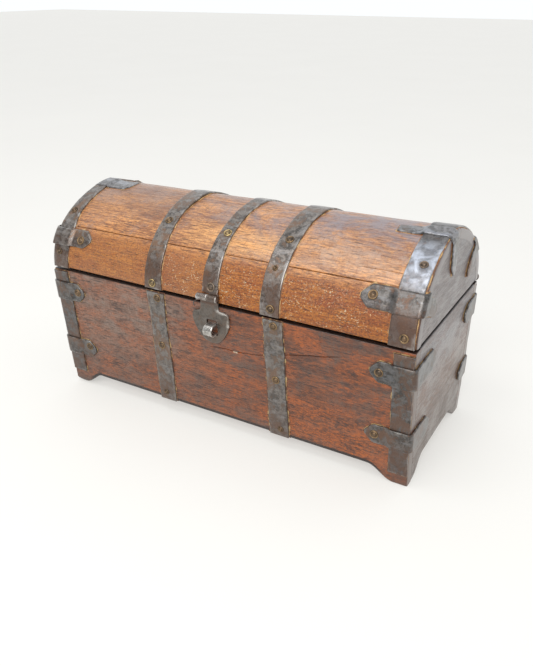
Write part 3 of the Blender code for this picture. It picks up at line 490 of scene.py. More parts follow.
def nail_metal(name, ring_tone):
    """Dark nail heads whose raised rings are rubbed to a lighter metal."""
    n = Nodes(name)
    patch, fine = n.noise(190), n.noise(900, 3.0, 0.6)
    n.color = n.mix((patch, 0.35, 0.65), (0.050, 0.038, 0.030), (0.120, 0.075, 0.045))
    n.paint(ring_tone, n.wear(), (patch, 0.34, 0.60, 0.25, 1.0), (fine, 0.30, 0.60, 0.55, 1.0))
    return n.finish(Roughness=n.range(fine, 0.35, 0.65, 0.36, 0.55), Metallic=0.6,
                    Normal=n.bump(n.total((patch, 1.0), (fine, 0.4)), 0.5, 0.0004))


def wax(name, wood_tone, light):
    """Old wax and filler in the angle between an iron and the wood."""
    n = Nodes(name)
    patch, fine = n.noise(150, 4.0, 0.62), n.noise(1100, 2.0)
    n.color = n.mix((patch, 0.44, 0.60), wood_tone, light)
    n.paint(wood_tone, (fine, 0.5, 0.7, 0.0, 0.5))
    return n.finish(Roughness=n.range(fine, 0.3, 0.7, 0.55, 0.75), Normal=n.bump(fine, 0.4, 0.0003))


BODY_TONES = ((0.022, 0.010, 0.008), (0.080, 0.026, 0.012), (0.200, 0.060, 0.019),
              (0.390, 0.098, 0.014), (0.086, 0.061, 0.048))
END_TONES = ((0.062, 0.040, 0.034), (0.122, 0.071, 0.052), (0.195, 0.104, 0.068),
             (0.270, 0.112, 0.050), (0.150, 0.132, 0.124))
LID_END_TONES = ((0.068, 0.054, 0.052), (0.118, 0.096, 0.096), (0.175, 0.145, 0.145),
                 (0.220, 0.165, 0.145), (0.150, 0.162, 0.190))
LID_TONES = ((0.055, 0.026, 0.016), (0.215, 0.078, 0.030), (0.650, 0.285, 0.085),
             (0.820, 0.400, 0.130), (0.260, 0.165, 0.125))
body_wood = wood("body_wood_polished", BODY_TONES, "body", 0.42, 0.25, 0.85)
body_wood_ends = wood("body_wood_across", END_TONES, "body_end", patina=0.6)
lid_wood = wood("lid_wood_polished", LID_TONES, "lid", patina=0.75, rub_share=0.45)
lid_wood_ends = wood("lid_wood_across", LID_END_TONES, "lid_end")
body_end_grain = end_grain("body_end_grain", [tuple(0.55 * c for c in tone) for tone in END_TONES], 0.9)
lid_end_grain = end_grain("lid_end_grain", LID_END_TONES, 1.0)
STEEL, RUST = (0.110, 0.099, 0.092), (0.140, 0.068, 0.036)
band_iron = iron("strap_iron_body_bands", (0.166, 0.146, 0.132), (0.175, 0.098, 0.058), uneven=0.8)
clip_iron = iron("strap_iron_clips", STEEL, RUST)
dark_iron = iron("strap_iron_dark", (0.088, 0.082, 0.079), (0.105, 0.056, 0.034))
strap_iron = iron("strap_iron_bands", (0.205, 0.176, 0.155), (0.210, 0.118, 0.070))
# the ridge straps' lighter bluish-grey steel is a painted sheen of the bright room, besides their full coat
crown_iron = iron("strap_iron_crown", (0.205, 0.198, 0.205), (0.160, 0.115, 0.090), rust_share=0.3, coat=1.0)
polished_highlit_iron = iron("strap_iron_rubbed", (0.120, 0.108, 0.104), RUST, rust_share=0.4, polish_and_highlight=True)
rusty_iron = iron("strap_iron_rusty", (0.090, 0.082, 0.078), (0.120, 0.060, 0.036), rust_share=0.7)
worn_iron = iron("worn_iron_handled", (0.130, 0.110, 0.094), (0.150, 0.105, 0.078), (0.85, 0.82, 0.78),
                 0.45, (0.36, 0.52), coat=0.5, uneven=0.5)
rubbed_iron = iron("worn_iron_rubbed", (0.620, 0.595, 0.560), (0.300, 0.230, 0.170), (0.95, 0.93, 0.90),
                   0.10, (0.20, 0.34), 0.85, coat=0.3, uneven=0.6)
nail_iron = nail_metal("nail_iron_ringed", (0.27, 0.175, 0.085))
nail_brass = nail_metal("nail_iron_brassy", (0.62, 0.46, 0.20))
nail_grey = nail_metal("nail_iron_greyed", (0.26, 0.20, 0.15))
body_wax = wax("wax_on_body", (0.090, 0.036, 0.020), (0.380, 0.250, 0.110))
lid_wax = wax("wax_on_lid", (0.220, 0.090, 0.034), (0.500, 0.320, 0.140))


# ------------------------------------------------------------------ wooden body
def wooden(name, rows, body, *materials):
    """A board that stands for the CAD node of that name; a second material is for its end grain."""
    piece = sheet(name + "_old", rows, list(materials))
    if len(materials) > 1:
        for polygon in piece.data.polygons:
            if abs(polygon.normal.x) > 0.8:
                polygon.material_index = 1
    return place(piece, body, "body_wood" if body == "chest" else "lid_wood", name)


def foot_line(u, half, flat, curve, height):
    """Height of a board's lower edge at u, with a foot at the border."""
    run = (half - abs(u) - flat) / curve
    if run <= 0:
        return 0.0
    return height * (0.5 - 0.5 * math.cos(math.pi * min(run, 1.0)))


CRACK = ((-0.012, 0.0912), (-0.005, 0.0916), (0.010, 0.0934), (0.022, 0.0930), (0.043, 0.0951),
         (0.060, 0.0995), (0.077, 0.1045), (0.094, 0.1086), (0.108, 0.1112), (0.122, 0.1148), (0.140, 0.1180))


def long_board(side):
    rows = []
    for x in spread(-HALF_LENGTH, HALF_LENGTH, 0.0026, 0.0012):
        arch = ARCH_LEFT + (ARCH_RIGHT - ARCH_LEFT) * (x + HALF_LENGTH) / LENGTH
        bottom = foot_line(x, HALF_LENGTH, FOOT_FLAT_LONG, FOOT_CURVE, arch)
        crack = None
        if side == FRONT:
            # the left foot is worn short, and the crack runs up to the right
            bottom += 0.0019 * clamp((-0.150 - x) / 0.020) + 0.0016 * max((-0.180 - x) / 0.010, 0.0) ** 2
            crack = between(x, CRACK) + 0.0005 * rumple((x, 0, 0), 0.006)
            opened = clamp((x + 0.012) / 0.02) * clamp((0.134 - x) / 0.02)
            depth = 0.0016 * opened * (0.65 + 0.35 * rumple((x, 5, 0), 0.012))
            heights = [bottom + d for d in (0.0, 0.0002, 0.0005, 0.0012, 0.0024, 0.0034, 0.0042)]
            heights += list(np.linspace(bottom + 0.006, crack - 0.0020, 17))
            heights += [crack - 0.00045, crack, crack + 0.00045]
            heights += list(np.linspace(crack + 0.0020, BODY_TOP - 0.003, 8))
            heights += [BODY_TOP - d for d in (0.0012, 0.0005, 0.0002, 0.0)]
        else:
            heights = [bottom + (BODY_TOP - bottom) * v for v in spread(0.0, 1.0, 0.036, 0.010)]
        # painted shade: a near-black line along the lower edge where the board spans the arch, standing for
        # the shadow gap under the chest
        under_arch = clamp((bottom - 0.004) / 0.004)
        row = []
        for z in heights:
            border = min(HALF_LENGTH - abs(x), z - bottom, BODY_TOP - z)
            drop = rounded(BODY_TOP - z, 0.0012) + rounded(z - bottom, 0.0016)
            drop += rounded(HALF_LENGTH - abs(x), 0.0012)
            dent = 0.00022 * rumple((x, side, z), 0.035) + 0.00008 * rumple((x, side, z), 0.009, 3)
            out = body_half_depth(z) - drop + dent * clamp(border / 0.004) - (depth if z == crack else 0.0)
            row.append(((x, side * (body_half_depth(z) - BOARD), z), (x, side * out, z),
                        under_arch if z - bottom < 0.0036 else 0.0))
        rows.append(row)
    wooden(SIDE_NAMES[side] + "_board", rows, "chest", body_wood, body_end_grain)


def end_board(end):
    inset = BOARD + GAP
    half_floor = body_half_depth(0) - inset
    rows = []
    for w in spread(-1.0, 1.0, 0.035, 0.012):
        bottom = foot_line(w * half_floor, half_floor, FOOT_FLAT_SHORT - inset, FOOT_CURVE, ARCH_END)
        side_gap = (1 - abs(w)) * half_floor
        row = []
        for v in spread(0.0, 1.0, 0.036, 0.010):
            z = bottom + (BODY_TOP - bottom) * v
            y = w * (body_half_depth(z) - inset)
            drop = rounded(min(z - bottom, BODY_TOP - z), 0.0012) + rounded(side_gap, 0.0004)
            dent = 0.00022 * rumple((end, y, z), 0.030) + 0.00008 * rumple((end, y, z), 0.008, 3)
            out = HALF_LENGTH - drop + dent * min(side_gap / 0.004, 1.0)
            row.append(((end * (HALF_LENGTH - BOARD), y, z), (end * out, y, z), 0.0))
        rows.append(row)
    wooden(END_NAMES[end] + "_end_board", rows, "chest", body_wood_ends)


def bottom_board():
    low_z = max(ARCH_LEFT, ARCH_END) + GAP
    inset = BOARD + GAP

    def point(x, share, z):
        return (x, share * (body_half_depth(z) - inset), z + 0.00012 * rumple((x, share, z), 0.03))

    rows = [[(point(x, v, low_z), point(x, v, low_z + BOTTOM_THICKNESS), 0.0) for v in np.linspace(-1, 1, 21)]
            for x in np.linspace(inset - HALF_LENGTH, HALF_LENGTH - inset, 60)]
    wooden("bottom_board", rows, "chest", body_wood)


for side in (FRONT, BACK):
    long_board(side)
for end in (-1, 1):
    end_board(end)
bottom_board()


# ------------------------------------------------------------------ wooden lid
def end_drop(x, z):
    """The worn, rounded corner where the lid's top meets its ends."""
    return rounded(lid_half_length(z) - abs(x), 0.0014 + 0.0012 * clamp((z - 0.185) / 0.020))


def lid_plank(name, first, last, seam_first, seam_last):
    """A plank between two distances round the arch; a seam's edge is rounded more."""
    stops = spread(first, last, 0.0028, 0.0010)
    split = ARCH.at_height(0.1874, FRONT) if name == "lid_front_plank" else None
    if split:
        stops = [s for s in stops if abs(s - split) > 0.0015] + [split - 0.0004, split, split + 0.0004]
        stops.sort()
    rows = []
    for w in spread(-1.0, 1.0, 0.0135, 0.010):
        row = []
        for s in stops:
            y, z = ARCH.point(s)
            x = w * lid_half_length(z)
            drop = end_drop(x, z)
            drop += rounded(s - first, 0.0016 if seam_first else 0.0007)
            drop += rounded(last - s, 0.0016 if seam_last else 0.0007)
            inside = min(s - first, last - s, lid_half_length(z) - abs(x))
            dent = 0.00025 * rumple((x, s, 2), 0.040) + 0.00009 * rumple((x, s, 2), 0.010, 3)
            if s == split:
                opened = clamp((x - 0.124) / 0.012) * clamp((0.174 - x) / 0.008)
                dent -= 0.0012 * opened * (0.6 + 0.4 * rumple((x, 9, 0), 0.008))
            high_y, high_z = ARCH.point(s, -drop + dent * clamp(inside / 0.004))
            low_y, low_z = ARCH.point(s, -PLANK)
            row.append((tapered((x, low_y, max(low_z, LID_BOTTOM))),
                        tapered((x, high_y, max(high_z, LID_BOTTOM))), 0.0))
        rows.append(row)
    wooden(name, rows, "lid", lid_wood, lid_end_grain)


def lid_end(end):
    half = arch_half_depth(LID_BOTTOM, FRONT) - PLANK - 0.0002
    inner = [ARCH.point(s, -PLANK - 0.0001) for s in np.linspace(0.010, ARCH.total - 0.010, 220)]
    rows = []
    for y in spread(-half, half, 0.0030, 0.0):
        top = max(between(y, inner), LID_BOTTOM + 0.0005)
        row = []
        for v in spread(0.0, 1.0, 0.045, 0.012):
            z = LID_BOTTOM + (top - LID_BOTTOM) * v
            drop = rounded(z - LID_BOTTOM, 0.0012) + 0.0001
            dent = 0.0002 * rumple((end, y, z), 0.03) * min((z - LID_BOTTOM) / 0.004, 1.0)
            row.append((tapered((end * (lid_half_length(z) - BOARD), y, z)),
                        tapered((end * (lid_half_length(z) - drop + dent), y, z)), 0.0))
        rows.append(row)
    wooden("lid_%s_end" % END_NAMES[end], rows, "lid", lid_wood_ends)


JOINT = 0.00028
front_joint, rear_joint = ARCH.at_height(RAIL_TOP, FRONT), ARCH.at_height(RAIL_TOP, BACK)
ridge_joint = ARCH.at_depth(RIDGE_JOINT_Y)
lid_plank("lid_front_rail", 0.0, front_joint - JOINT, True, False)
lid_plank("lid_front_plank", front_joint + JOINT, ridge_joint - JOINT / 2, False, False)
lid_plank("lid_rear_plank", ridge_joint + JOINT / 2, rear_joint - JOINT, False, False)
lid_plank("lid_rear_rail", rear_joint + JOINT, ARCH.total, False, True)
for end in (-1, 1):
    lid_end(end)


# ------------------------------------------------------------------ irons
wax_work = {"chest": bmesh.new(), "lid": bmesh.new()}
BORDER_STEP = 0.0008
KNUCKLE_THICKNESS = 0.0017
STRAP_EDGE_RADIUS, RUBBED_BORDER = 0.0006, 0.0022
HAMMER_DENT, SMALL_DENT = 0.011, 0.004
WAX_EDGE = 0.0010
WAX_LIFTS = (0.00004, 0.00022, 0.00026, 0.00026, 0.00022, 0.00004)
ACROSS = (-1.0, -0.985, -0.95, -0.88, -0.7, -0.45, -0.2, 0.0, 0.2, 0.45, 0.7, 0.88, 0.95, 0.985, 1.0)


def forged(name, surface, stops, half_at, body, material, base_at=lambda at: ON_WOOD, thickness=IRON,
           wobble=0.00028, hammer=0.00012, rub=(0.45, 0.45), wax_sides=(1.0, 1.0)):
    """A strap on a surface, with old wax beside it, which stands for the CAD node of that name.

    stops are places along it, and half_at and base_at give its half width and base lift there;
    surface(place, across in metres, lift) gives a point. The upper face is rounded at the borders
    and hammered. rub is the wear of both borders, and wax_sides how wide the wax beside them is.
    """
    seed = sum(ord(c) for c in name) * 0.37
    first, last = stops[0], stops[-1]
    rows = []
    for at in stops:
        half, base = half_at(at), base_at(at)
        row = []
        for v in ACROSS:
            sway = wobble * noise.noise(Vector((at / 0.009, seed, 3.0 if v < 0 else 7.0)))
            across = v * half + sway * abs(v)
            border = min((1 - abs(v)) * half, max(min(at - first, last - at), 0.0))
            drop = rounded(border, min(STRAP_EDGE_RADIUS, thickness * 0.7))
            flat = surface(at, across, 0.0)
            beaten = hammer * (rumple(flat, HAMMER_DENT, seed) + 0.4 * rumple(flat, SMALL_DENT, seed))
            row.append((surface(at, across, base), surface(at, across, base + thickness - drop + beaten),
                        clamp(1 - border / RUBBED_BORDER) * rub[v >= 0]))
        rows.append(row)
    piece = sheet(name + "_forged", rows, material, 50)
    rows = []
    for at in [first - WAX_EDGE, *stops, last + WAX_EDGE]:
        half = half_at(at) if first <= at <= last else max(half_at(min(max(at, first), last)), 0.001)
        left, right = (max(WAX_EDGE * share * (0.75 + 0.9 * noise.noise(Vector((at / 0.006, seed, k)))), 0.0)
                       for k, share in zip((1.0, 9.0), wax_sides))
        edges = (-half - left, -half - left + 0.0005, -half + 0.0008, half - 0.0008, half + right - 0.0005,
                 half + right)
        rows.append([(surface(at, across, -0.0004), surface(at, across, lift), 0.0)
                     for across, lift in zip(edges, WAX_LIFTS)])
    add_sheet(wax_work[body], rows)
    return place(piece, body, "strap_iron", name)


def even_stops(first, last):
    return spread(first, last, 0.0028, BORDER_STEP)


def bent_stops(run, turn, total, step, count):
    """Places along a strap that bends between run and run + turn."""
    return (spread(0.0, run, step, BORDER_STEP) + list(np.linspace(run, run + turn, count))[1:-1]
            + spread(run + turn, total, step, BORDER_STEP))


# bands on the body: x at the top and the floor, their width at heights, and how far round the bend
# at the lower edge they go
BODY_BANDS = {-1: (-0.0624, -0.0627), 1: (0.0625, 0.0650)}
BAND_DRIFT = {-1: ((0.0, 0.0185), (0.02, 0.0187), (0.047, 0.0197), (0.070, 0.0190), (0.097, 0.0174),
                   (0.115, 0.0176), (0.136, 0.0200)),
              1: ((0.0, 0.0198), (0.034, 0.0201), (0.061, 0.0184), (0.083, 0.0188), (0.103, 0.0202),
                  (0.119, 0.0188), (0.136, 0.0190))}
TURNED_IN = 0.40


def body_band(side, end):
    """A band down the front or back, whose lower end starts to bend in under the board."""
    top_x, bottom_x = BODY_BANDS[end]
    z_top = BODY_TOP - GAP
    z_bottom = ARCH_LEFT + (ARCH_RIGHT - ARCH_LEFT) * (bottom_x + HALF_LENGTH) / LENGTH - 0.0004
    face = z_top - z_bottom
    bend = 0.0018
    turn = bend * math.pi / 2

    def surface(at, across, lift):
        x = top_x + (bottom_x - top_x) * min(at / face, 1.0) + across
        if at <= face - bend:
            z = z_top - at
            return (x, side * (body_half_depth(z) + lift), z)
        corner_z = z_bottom + bend
        angle = min((at - face + bend) / turn, 1.0) * math.pi / 2
        y = body_half_depth(corner_z) - bend + (bend + lift) * math.cos(angle)
        return (x, side * y, corner_z - (bend + lift) * math.sin(angle))

    forged("%s_band_%s" % (SIDE_NAMES[side], END_NAMES[end]), surface,
           even_stops(0.0, face - bend + TURNED_IN * turn),
           lambda at: between(z_top - min(at, face), BAND_DRIFT[end]) / 2, "chest", band_iron,
           wax_sides=(1.9, 1.1))


def corner_strap(side, end):
    low_z, high_z = (0.0168, 0.1345) if (side, end) == (FRONT, -1) else (0.0122, 0.1325)
    width = 0.0180

    def surface(at, across, lift):
        z = high_z - at
        x = HALF_LENGTH - width / 2 + across
        return (end * x, side * (body_half_depth(z) + lift - rounded(HALF_LENGTH - x, 0.0012) * 0.6), z)

    forged("corner_strap_%s_%s" % (SIDE_NAMES[side], END_NAMES[end]), surface,
           even_stops(0.0, high_z - low_z), lambda at: width / 2 - 0.0002, "chest", rusty_iron,
           wax_sides=(1.0, 0.0))


for side, end in CORNERS:
    body_band(side, end)
    corner_strap(side, end)


def clip(name, side, end, body, material, depth_at, length_at, sizes, over, corner_lift, bend=0.0022,
         thickness=IRON):
    """A clip: along the long side from its nose, round the corner, along the end to its tip.

    sizes are its lowest height, width, reach along the side, reach along the end, and how far the
    tip drops. over is how far from the corner the strap under it reaches.
    """
    low, width, long_reach, end_reach, drop = sizes
    middle, half = low + width / 2, width / 2
    turn = (bend + 0.001) * math.pi / 2
    front_run, end_run = long_reach - bend, end_reach - bend
    total = front_run + turn + end_run
    tip_lift = 0.0006 if side == FRONT else 0.0012

    def surface(at, across, lift):
        z = middle + across
        if at <= front_run:
            return (end * (length_at(z) - long_reach + at), side * depth_at(z, lift), z)
        if at <= front_run + turn:
            angle = (at - front_run) / turn * math.pi / 2
            flat = depth_at(z, 0.0)
            return (end * (length_at(z) - bend + (bend + lift) * math.sin(angle)),
                    side * (flat - bend + (bend + depth_at(z, lift) - flat) * math.cos(angle)), z)
        run = at - front_run - turn
        share = min(run / end_run, 1.1)
        start, centre = depth_at(z, 0.0), depth_at(middle - drop * share, 0.0)
        z -= drop * share
        y = start + (centre - start) * ease(run / 0.012) - bend - run
        return (end * (length_at(z) + lift), side * y, z)

    def half_at(at):
        if at < front_run:
            return half * (0.16 + 0.84 * clamp(at / 0.0075) ** 0.85)
        return half * (0.30 + 0.70 * clamp((total - at) / 0.0085) ** 0.8)

    def base_at(at):
        if at <= front_run:
            return ON_WOOD + (ON_IRON - ON_WOOD) * ease((over + 0.0024 - long_reach + at) / 0.0024)
        if at <= front_run + turn:
            return ON_IRON + (corner_lift - ON_IRON) * (at - front_run) / turn
        return corner_lift + (tip_lift - corner_lift) * min((at - front_run - turn) / (0.7 * end_run), 1.0)

    return forged(name, surface, bent_stops(front_run, turn, total, 0.0021, 8), half_at, body, material,
                  base_at, thickness, 0.00022, 0.00014)


def body_depth(z, lift):
    return body_half_depth(z) + lift


BODY_CLIPS = {("front", "upper"): (0.1015, 0.0202, 0.0378, 0.0500, 0.0000),
              ("front", "lower"): (0.0388, 0.0192, 0.0405, 0.0434, 0.0020),
              ("back", "upper"): (0.1030, 0.0202, 0.0378, 0.0364, 0.0000),
              ("back", "lower"): (0.0388, 0.0192, 0.0405, 0.0274, 0.0000)}
LID_CLIPS = {("front", -1): (0.1624, 0.0152, 0.0455, 0.0345, 0.0120),
             ("front", 1): (0.1635, 0.0158, 0.0520, 0.0345, 0.0120),
             ("back", -1): (0.1690, 0.0160, 0.0480, 0.0450, 0.0190),
             ("back", 1): (0.1700, 0.0160, 0.0480, 0.0450, 0.0190)}
for side, end in CORNERS:
    for level in ("upper", "lower"):
        low, width, long_reach, *rest = BODY_CLIPS[(SIDE_NAMES[side], level)]
        if (side, end) == (FRONT, -1):
            long_reach -= 0.0025
            low += 0.0014 if level == "upper" else 0.0
        clip("clip_%s_%s_%s" % (level, SIDE_NAMES[side], END_NAMES[end]), side, end, "chest",
             dark_iron if level == "upper" and end == 1 else clip_iron, body_depth, lambda z: HALF_LENGTH,
             (low, width, long_reach, *rest), 0.0180, 0.0011 if side == FRONT else 0.0004)


# bands on the lid: x and width at shares of the lid's rise
LID_BANDS = {
    "left": ((0.0, -0.0641, 0.0190), (0.48, -0.0650, 0.0176), (0.74, -0.0672, 0.0162),
             (0.88, -0.0681, 0.0160), (1.0, -0.0670, 0.0182)),
    "middle": ((0.0, -0.0004, 0.0166), (0.44, -0.0020, 0.0160), (0.73, -0.0030, 0.0140),
               (0.94, -0.0022, 0.0132), (1.0, 0.0000, 0.0142)),
    "right": ((0.0, 0.0596, 0.0186), (0.51, 0.0590, 0.0182), (0.72, 0.0589, 0.0188),
              (0.95, 0.0590, 0.0186), (1.0, 0.0610, 0.0200)),
}
EDGE_BANDS = {-1: ((0.0, 0.0180), (0.55, 0.0186), (0.72, 0.0145), (1.0, 0.0135)),
              1: ((0.0, 0.0215), (1.0, 0.0215))}
EDGE_BAND_INSET = 0.0020


def drift(places, column):
    """A column of a band's table as a function of height."""
    return lambda z: between(rise_share(z), places, column)


def lid_band(name, middle_at, width_at, material, first=0.0, sprung=0.0):
    """A band over the arch from a distance round it; sprung is how far it stands off the crown."""
    def surface(at, across, lift):
        at = min(max(at, 0.0), ARCH.total)
        z_even = ARCH.point(at)[1]
        x = middle_at(z_even) + across
        return tapered((x, *ARCH.point(at, lift - 0.6 * end_drop(x, z_even))))

    def half(at):
        return width_at(ARCH.point(at)[1]) / 2

    def base(at):
        return ON_WOOD + sprung * max(1 - ((ARCH.point(at)[0] + 0.020) / 0.030) ** 2, 0.0)

    forged(name, surface, even_stops(first, ARCH.total), half, "lid", material, base, rub=(0.3, 1.0))


for word, sprung in (("left", 0.0008), ("right", 0.0006)):
    lid_band("lid_band_" + word, drift(LID_BANDS[word], 1), drift(LID_BANDS[word], 2), strap_iron,
             sprung=sprung)
for end in (-1, 1):
    width_at = drift(EDGE_BANDS[end], 1)
    lid_band("lid_edge_band_" + END_NAMES[end],
             lambda z: end * (lid_half_length(z) - EDGE_BAND_INSET - width_at(z) / 2), width_at,
             polished_highlit_iron if end == 1 else strap_iron)
for side, end in CORNERS:
    front = side == FRONT
    wax_verts = wax_work["lid"].verts
    wax_before = len(wax_verts)
    piece = clip("lid_clip_%s_%s" % (SIDE_NAMES[side], END_NAMES[end]), side, end, "lid",
                 clip_iron if end == 1 else strap_iron, lambda z, lift: arch_offset_depth(z, lift, side),
                 lid_half_length, LID_CLIPS[(SIDE_NAMES[side], end)], EDGE_BANDS[end][1][1] + EDGE_BAND_INSET,
                 0.0008 if front else 0.0001, 0.0022 if front else 0.0040, IRON if front else 0.0010)
    wax_verts.ensure_lookup_table()
    for vertex in list(piece.data.vertices) + wax_verts[wax_before:]:
        vertex.co = tapered(vertex.co)


# ridge straps: reach, point, and the y of the front and back edge at places along them
RIDGE_STRAPS = {
    -1: (0.0430, 0.0045, ((-0.0120, 0.0020), (-0.0186, 0.0022), (-0.0190, 0.0022), (-0.0188, 0.0020),
                          (-0.0184, 0.0014), (-0.0164, 0.0006), (-0.0154, -0.0008), (-0.0105, -0.0060))),
    1: (0.0475, 0.0025, ((-0.0206, -0.0116), (-0.0212, -0.0108), (-0.0216, -0.0088), (-0.0216, -0.0080),
                         (-0.0210, -0.0060), (-0.0176, -0.0048), (-0.0166, -0.0046), (-0.0108, -0.0068))),
}


def ridge_strap(end):
    """A strap along the ridge that folds down over the lid's end."""
    reach, point, spans = RIDGE_STRAPS[end]
    leg, bend = 0.0350, 0.0050
    top_run = reach - bend
    turn = (bend + 0.0015) * math.pi / 2
    total = top_run + turn + leg - bend
    on_band = reach - EDGE_BAND_INSET - EDGE_BANDS[end][-1][1]
    places = (0.0, point, on_band, on_band + 0.011, top_run + turn / 2, top_run + turn + 0.006,
              total - 0.008, total)

    def borders(at):
        return [float(np.interp(at, places, values)) for values in zip(*spans)]

    def surface(at, across, lift):
        y = sum(borders(at)) / 2 + across
        crown = arch_height(y)
        if at <= top_run:
            x, z = HALF_LENGTH - reach + at, crown + lift
        elif at <= top_run + turn:
            angle = (at - top_run) / turn * math.pi / 2
            x = lid_half_length(crown) - bend + (bend + lift) * math.sin(angle)
            z = crown - bend + (bend + lift) * math.cos(angle)
        else:
            z = crown - bend - (at - top_run - turn)
            x = lid_half_length(z) + lift
        return tapered((end * x, y, z))

    def half_at(at):
        front, back = borders(at)
        return (back - front) / 2

    def base_at(at):
        base = ON_WOOD * 0.5 + (ON_IRON - ON_WOOD) * ease((at - on_band + 0.0050) / 0.0050)
        return base - 0.0009 * clamp((at - top_run) / turn)

    forged("ridge_strap_" + END_NAMES[end], surface, bent_stops(top_run, turn, total, 0.0022, 10), half_at,
           "lid", crown_iron, base_at, 0.0011, 0.0004, 0.00018)


for end in (-1, 1):
    ridge_strap(end)


# ------------------------------------------------------------------ rolled straps
def strip(name, path, widths, body, slot, material, nodes=(), thickness=FORGED):
    """A strap along (y, z) points, with its own (x low, x high) at each."""
    points, spans = [path[0]], [widths[0]]
    for a, b, wide_a, wide_b in zip(path, path[1:], widths, widths[1:]):
        count = max(int(math.dist(a, b) / 0.0012), 1)
        for t in (k / count for k in range(1, count + 1)):
            points.append([p + (q - p) * t for p, q in zip(a, b)])
            spans.append([p + (q - p) * t for p, q in zip(wide_a, wide_b)])
    points = np.array(points, float)
    rows = []
    for i, (x_low, x_high) in enumerate(spans):
        tangent = points[min(i + 1, len(points) - 1)] - points[max(i - 1, 0)]
        tangent /= max(np.linalg.norm(tangent), 1e-9)
        half = (x_high - x_low) / 2
        row = []
        for v in ACROSS:
            x = (x_low + x_high) / 2 + v * half
            border = (1 - abs(v)) * half
            beaten = 0.00006 * rumple((x, *points[i]), 0.005)
            reach = np.array((-tangent[1], tangent[0])) * (thickness / 2 - rounded(border, 0.0005) + beaten)
            row.append(((x, *(points[i] - reach)), (x, *(points[i] + reach)), clamp(1 - border / 0.0012)))
        rows.append(row)
    return place(sheet(name, rows, material, 50), body, slot, *nodes)


def curl(centre, radius, start, sweep, steps=40):
    turns = [math.radians(start + sweep * k / steps) for k in range(steps + 1)]
    return [(centre[0] + radius * math.cos(turn), centre[1] + radius * math.sin(turn)) for turn in turns]


def mirrored(end, *span):
    return sorted(end * x for x in span)


for end in (-1, 1):
    for on_lid in (False, True):
        upward = 1 if on_lid else -1
        tangent_y = HINGE_PIN_Y - CURL_RADIUS
        start_z = HINGE_PIN_Z + upward * (CURL_RADIUS + 0.0010)
        on_iron = ON_IRON + FORGED / 2
        if on_lid:
            leaf = [(arch_offset_depth(z, on_iron, BACK), z) for z in (0.1560, 0.1490)]
            part = mirrored(end, HINGE_MIDDLE + GAP / 2, HINGE_OUTER)
        else:
            leaf = [(body_half_depth(z) + on_iron, z) for z in (0.1240, 0.1290)]
            part = mirrored(end, HINGE_INNER, HINGE_MIDDLE - GAP / 2)
        leaf.append((tangent_y, start_z + upward * 0.0008))
        roll = [(tangent_y, start_z)] + curl((HINGE_PIN_Y, HINGE_PIN_Z), CURL_RADIUS, 180, upward * 285)
        name = "hinge_leaf_%s_%s" % ("lid" if on_lid else "body", END_NAMES[end])
        widths = [mirrored(end, HINGE_INNER, HINGE_OUTER)] * 3 + [part] * len(roll)
        strip(name + "_rolled", leaf + roll, widths, "lid" if on_lid else "chest", "strap_iron", strap_iron,
              [name])


def turned(name, profile, matrix, material, body, slot, nodes, segments=28, wear=None):
    """A solid turned round an axis; profile is (radius, height) pairs."""
    work = bmesh.new()
    layer = work.verts.layers.float.new("wear")
    rings = []
    for i, (radius, height) in enumerate(profile):
        ring = []
        for k in range(1 if radius == 0 else segments):
            turn = 2 * math.pi * k / segments
            spot = Vector((radius * math.cos(turn), radius * math.sin(turn), height))
            vertex = work.verts.new(matrix @ spot)
            vertex[layer] = wear[i] if wear else 0.0
            ring.append(vertex)
        rings.append(ring)
    for lower, upper in zip(rings, rings[1:]):
        for k in range(segments):
            corners = [lower[k % len(lower)], lower[(k + 1) % len(lower)],
                       upper[(k + 1) % len(upper)], upper[k % len(upper)]]
            work.faces.new(list(dict.fromkeys(corners)))
    return place(finish_mesh(name, work, material, 50), body, slot, *nodes)


def pin(name, low_x, high_x, y, z, body):
    head = PIN_RADIUS + GAP + 0.0008
    dome = [(head, 0.0), (head * 0.85, 0.0004), (head * 0.5, 0.0007), (0.0, 0.0008)]
    profile = [(radius, low_x - rise) for radius, rise in reversed(dome)]
    profile += [(PIN_RADIUS, low_x), (PIN_RADIUS, high_x)]
    profile += [(radius, high_x + rise) for radius, rise in dome]
    matrix = Matrix.Translation((0, y, z)) @ Matrix.Rotation(math.pi / 2, 4, "Y")
    turned(name + "_turned", profile, matrix, worn_iron, body, "worn_iron", [name])


for end in (-1, 1):
    pin("hinge_pin_" + END_NAMES[end], *mirrored(end, HINGE_INNER - GAP, HINGE_OUTER + GAP), HINGE_PIN_Y,
        HINGE_PIN_Z, "chest")
pin("hasp_pin", HASP_X - HASP_KNUCKLE_HALF - GAP, HASP_X + HASP_KNUCKLE_HALF + GAP, HASP_PIN_Y, HASP_PIN_Z,
    "lid")

# the middle band, whose front end is rolled round the hasp's pin
middle_at, width_at = drift(LID_BANDS["middle"], 1), drift(LID_BANDS["middle"], 2)
band_start = ARCH.at_height(0.1510, FRONT)
lid_band("lid_band_middle", middle_at, width_at, strap_iron, first=band_start)
knuckle = (HASP_X + GAP / 2, HASP_X + HASP_KNUCKLE_HALF)
band_middle, band_half = middle_at(LID_BOTTOM), width_at(LID_BOTTOM) / 2
tangent_y = HASP_PIN_Y + CURL_RADIUS
roll = curl((HASP_PIN_Y, HASP_PIN_Z), CURL_RADIUS, 285, -285) + [(tangent_y, HASP_PIN_Z + 0.0033)]
strip("lid_band_middle_roll",
      roll + [(tangent_y + 0.0001, HASP_PIN_Z + 0.0041), ARCH.point(band_start + 0.0008, ON_WOOD + IRON / 2)],
      [knuckle] * len(roll) + [(band_middle - band_half, band_middle + band_half)] * 2, "lid", "strap_iron",
      worn_iron, thickness=KNUCKLE_THICKNESS)


